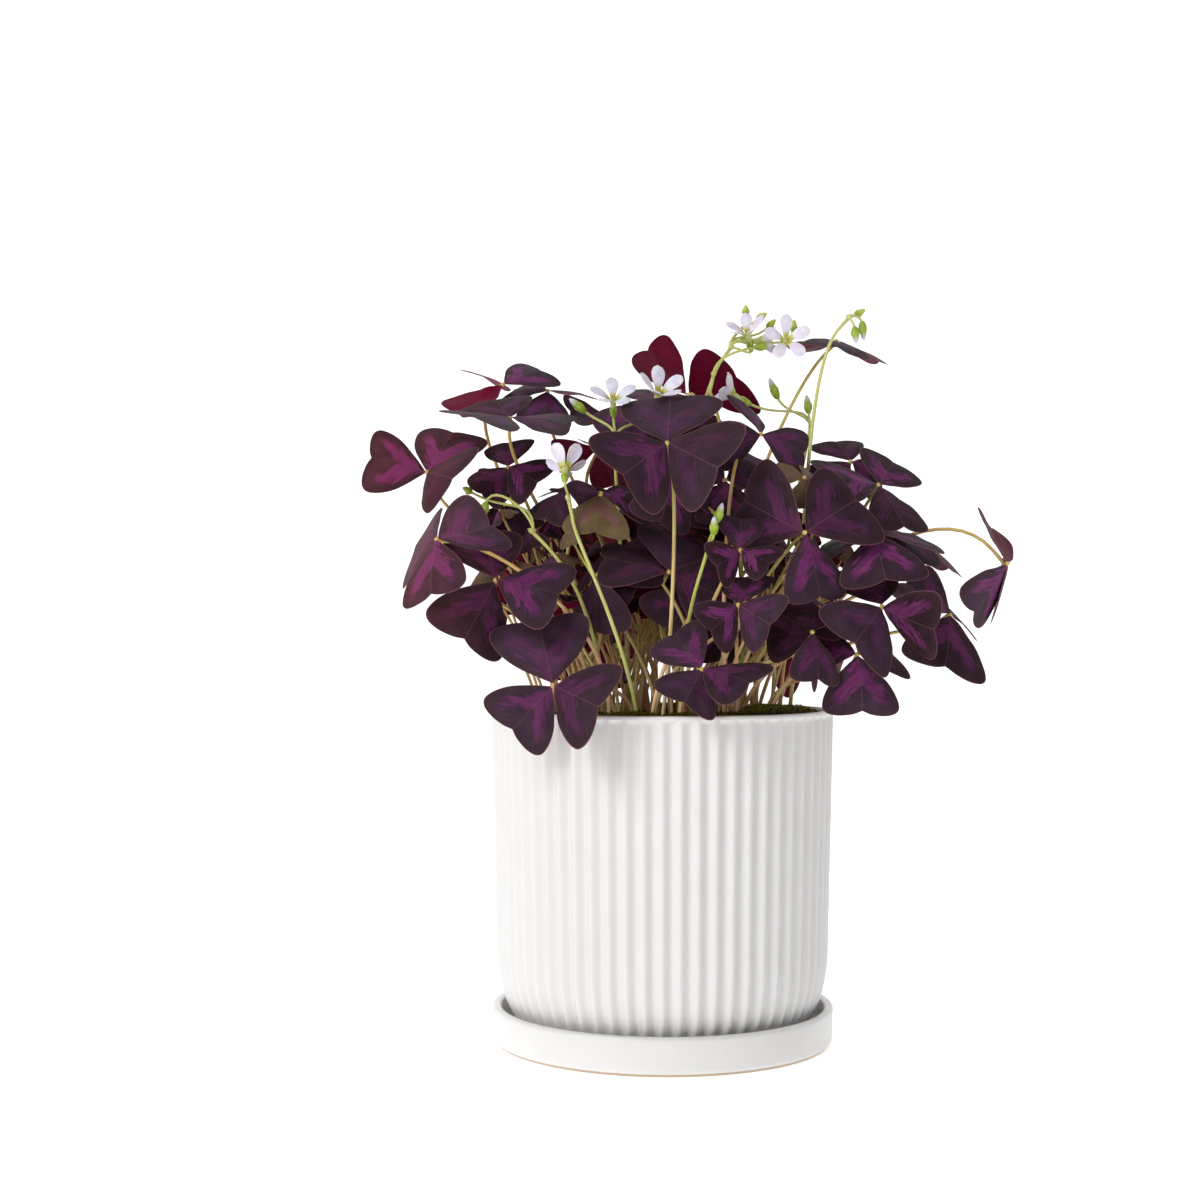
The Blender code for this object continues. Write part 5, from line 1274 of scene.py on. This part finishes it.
def bloom_parts(centre, axis, opening, size, chance):
    """Throat, five petals and stamens of one bloom, as parts for grown()."""
    side = unit(np.cross(axis, OFF_FLOWER))
    tone = chance.random()
    throat = spindle(centre, axis * THROAT_LENGTH, THROAT_LINE, size, MM * size, 14, 0, tone)
    parts = [throat[:3] + (np.tile(THROAT_PLACE, (len(throat[0]), 1)),) + throat[4:]]
    shares = np.linspace(0, 1, PETAL_ROWS)
    columns = np.linspace(-1, 1, PETAL_COLUMNS)
    faces, edge = grid_sheet(PETAL_ROWS, PETAL_COLUMNS)
    flat = np.stack((np.repeat(shares, PETAL_COLUMNS), np.tile(columns, PETAL_ROWS)), axis=1)
    for petal in range(PETALS):
        outward = swung(side, axis, math.tau * petal / PETALS)
        lateral = np.cross(axis, outward)
        place = centre + outward * MOUTH_RADIUS * size
        wobble = chance.uniform(-PETAL_WOBBLE, PETAL_WOBBLE)
        points = []
        for row, share in enumerate(shares):
            angle = math.radians(opening + wobble) * (PETAL_BEND[0] + PETAL_BEND[1] * share)
            step = PETAL_LENGTH * size / (PETAL_ROWS - 1) if row else 0.0
            above = math.cos(angle) * outward - math.sin(angle) * axis
            place = place + step * (math.cos(angle) * axis + math.sin(angle) * outward)
            half = petal_half(share) * size
            for column in columns:
                cupped = -PETAL_CUPPING * half * column ** 2 + PETAL_TWIST * column
                points.append(place + lateral * half * column - above * cupped)
        parts.append(sheet_part(np.array(points), faces, edge, PETAL_HALF_THICKNESS, (0, 0), flat,
                                flat[:, 0], tone))
    for stamen in range(PETALS):
        outward = swung(side, axis, math.tau * (stamen + 0.5) / PETALS)
        foot = centre - axis * 2.0 * MM + outward * 0.4 * MM
        line = [foot + axis * up * MM + outward * out * MM for up, out in STAMEN_LINE]
        parts.append(tube(line, STAMEN_RADII * MM * size, 6, 1, tone))
    return parts


for name, fork, lean, blooms, buds in FLOWER_STEMS:
    for number, place in enumerate(blooms, 1):
        node = name.replace("flower_stem", "bloom") + f"_{number}"
        opening, size = place[5:]
        parts = bloom_parts(seen(place, shifts[name]), facing(*place[3:5]), opening, size, chance)
        bloom = grown(node + "_petals", parts, (petal_skin, stamen_skin))
        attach(bloom, "root")
        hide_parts(node)

# The setting
# A white paper sweep under soft studio light from the upper left, seen from a little above the
# middle of the plant.
LENS = 54.93
LOOKED_AT = Vector((-0.0292, 0.0, 0.205))
SKY_STRENGTH = 0.28
LAMP_PLACE = Vector((-1.4, -1.7, 1.6))
LAMP_AIM = Vector((0.0, 0.0, 0.15))
LAMP_SIZE = 1.2
LAMP_WATTS = 34.5
SWEEP_HALF_WIDTH = 5.0
SWEEP_FRONT = -4.0
SWEEP_FOOT = 1.2
SWEEP_BEND = 0.8
SWEEP_TOP = 5.0
paper = finish("white paper sweep", {"Base Color": "FBFBFB", "Roughness": 0.9,
                                     "Emission Color": "FFFFFF", "Emission Strength": 0.55})[0]
sweep = [(SWEEP_FRONT, 0.0), (SWEEP_FOOT, 0.0)]
sweep += [(SWEEP_FOOT + SWEEP_BEND * math.sin(t), SWEEP_BEND - SWEEP_BEND * math.cos(t))
          for t in np.linspace(0.1, math.pi / 2, 14)]
sweep += [(SWEEP_FOOT + SWEEP_BEND, SWEEP_TOP)]
floor = shaped("paper_sweep",
               [(x, y, z) for y, z in sweep for x in (-SWEEP_HALF_WIDTH, SWEEP_HALF_WIDTH)],
               [(2 * k, 2 * k + 1, 2 * k + 3, 2 * k + 2) for k in range(len(sweep) - 1)], [paper])

world = bpy.data.worlds.new("studio")
world.use_nodes = True
world.node_tree.nodes["Background"].inputs["Color"].default_value = (1.0, 1.0, 1.0, 1.0)
world.node_tree.nodes["Background"].inputs["Strength"].default_value = SKY_STRENGTH
bpy.context.scene.world = world

key = bpy.data.lights.new("softbox", "AREA")
key.shape = "SQUARE"
key.size = LAMP_SIZE
key.energy = LAMP_WATTS
lamp = bpy.data.objects.new("softbox", key)
lamp.location = LAMP_PLACE
lamp.rotation_euler = (LAMP_AIM - lamp.location).to_track_quat("-Z", "Y").to_euler()
bpy.context.collection.objects.link(lamp)

lens = bpy.data.cameras.new("view")
lens.lens = LENS
camera = bpy.data.objects.new("view", lens)
camera.location = (0.0, -EYE_DISTANCE, EYE_HEIGHT)
camera.rotation_euler = (LOOKED_AT - camera.location).to_track_quat("-Z", "Y").to_euler()
bpy.context.collection.objects.link(camera)
bpy.context.scene.camera = camera
bpy.context.scene.view_settings.view_transform = "Standard"
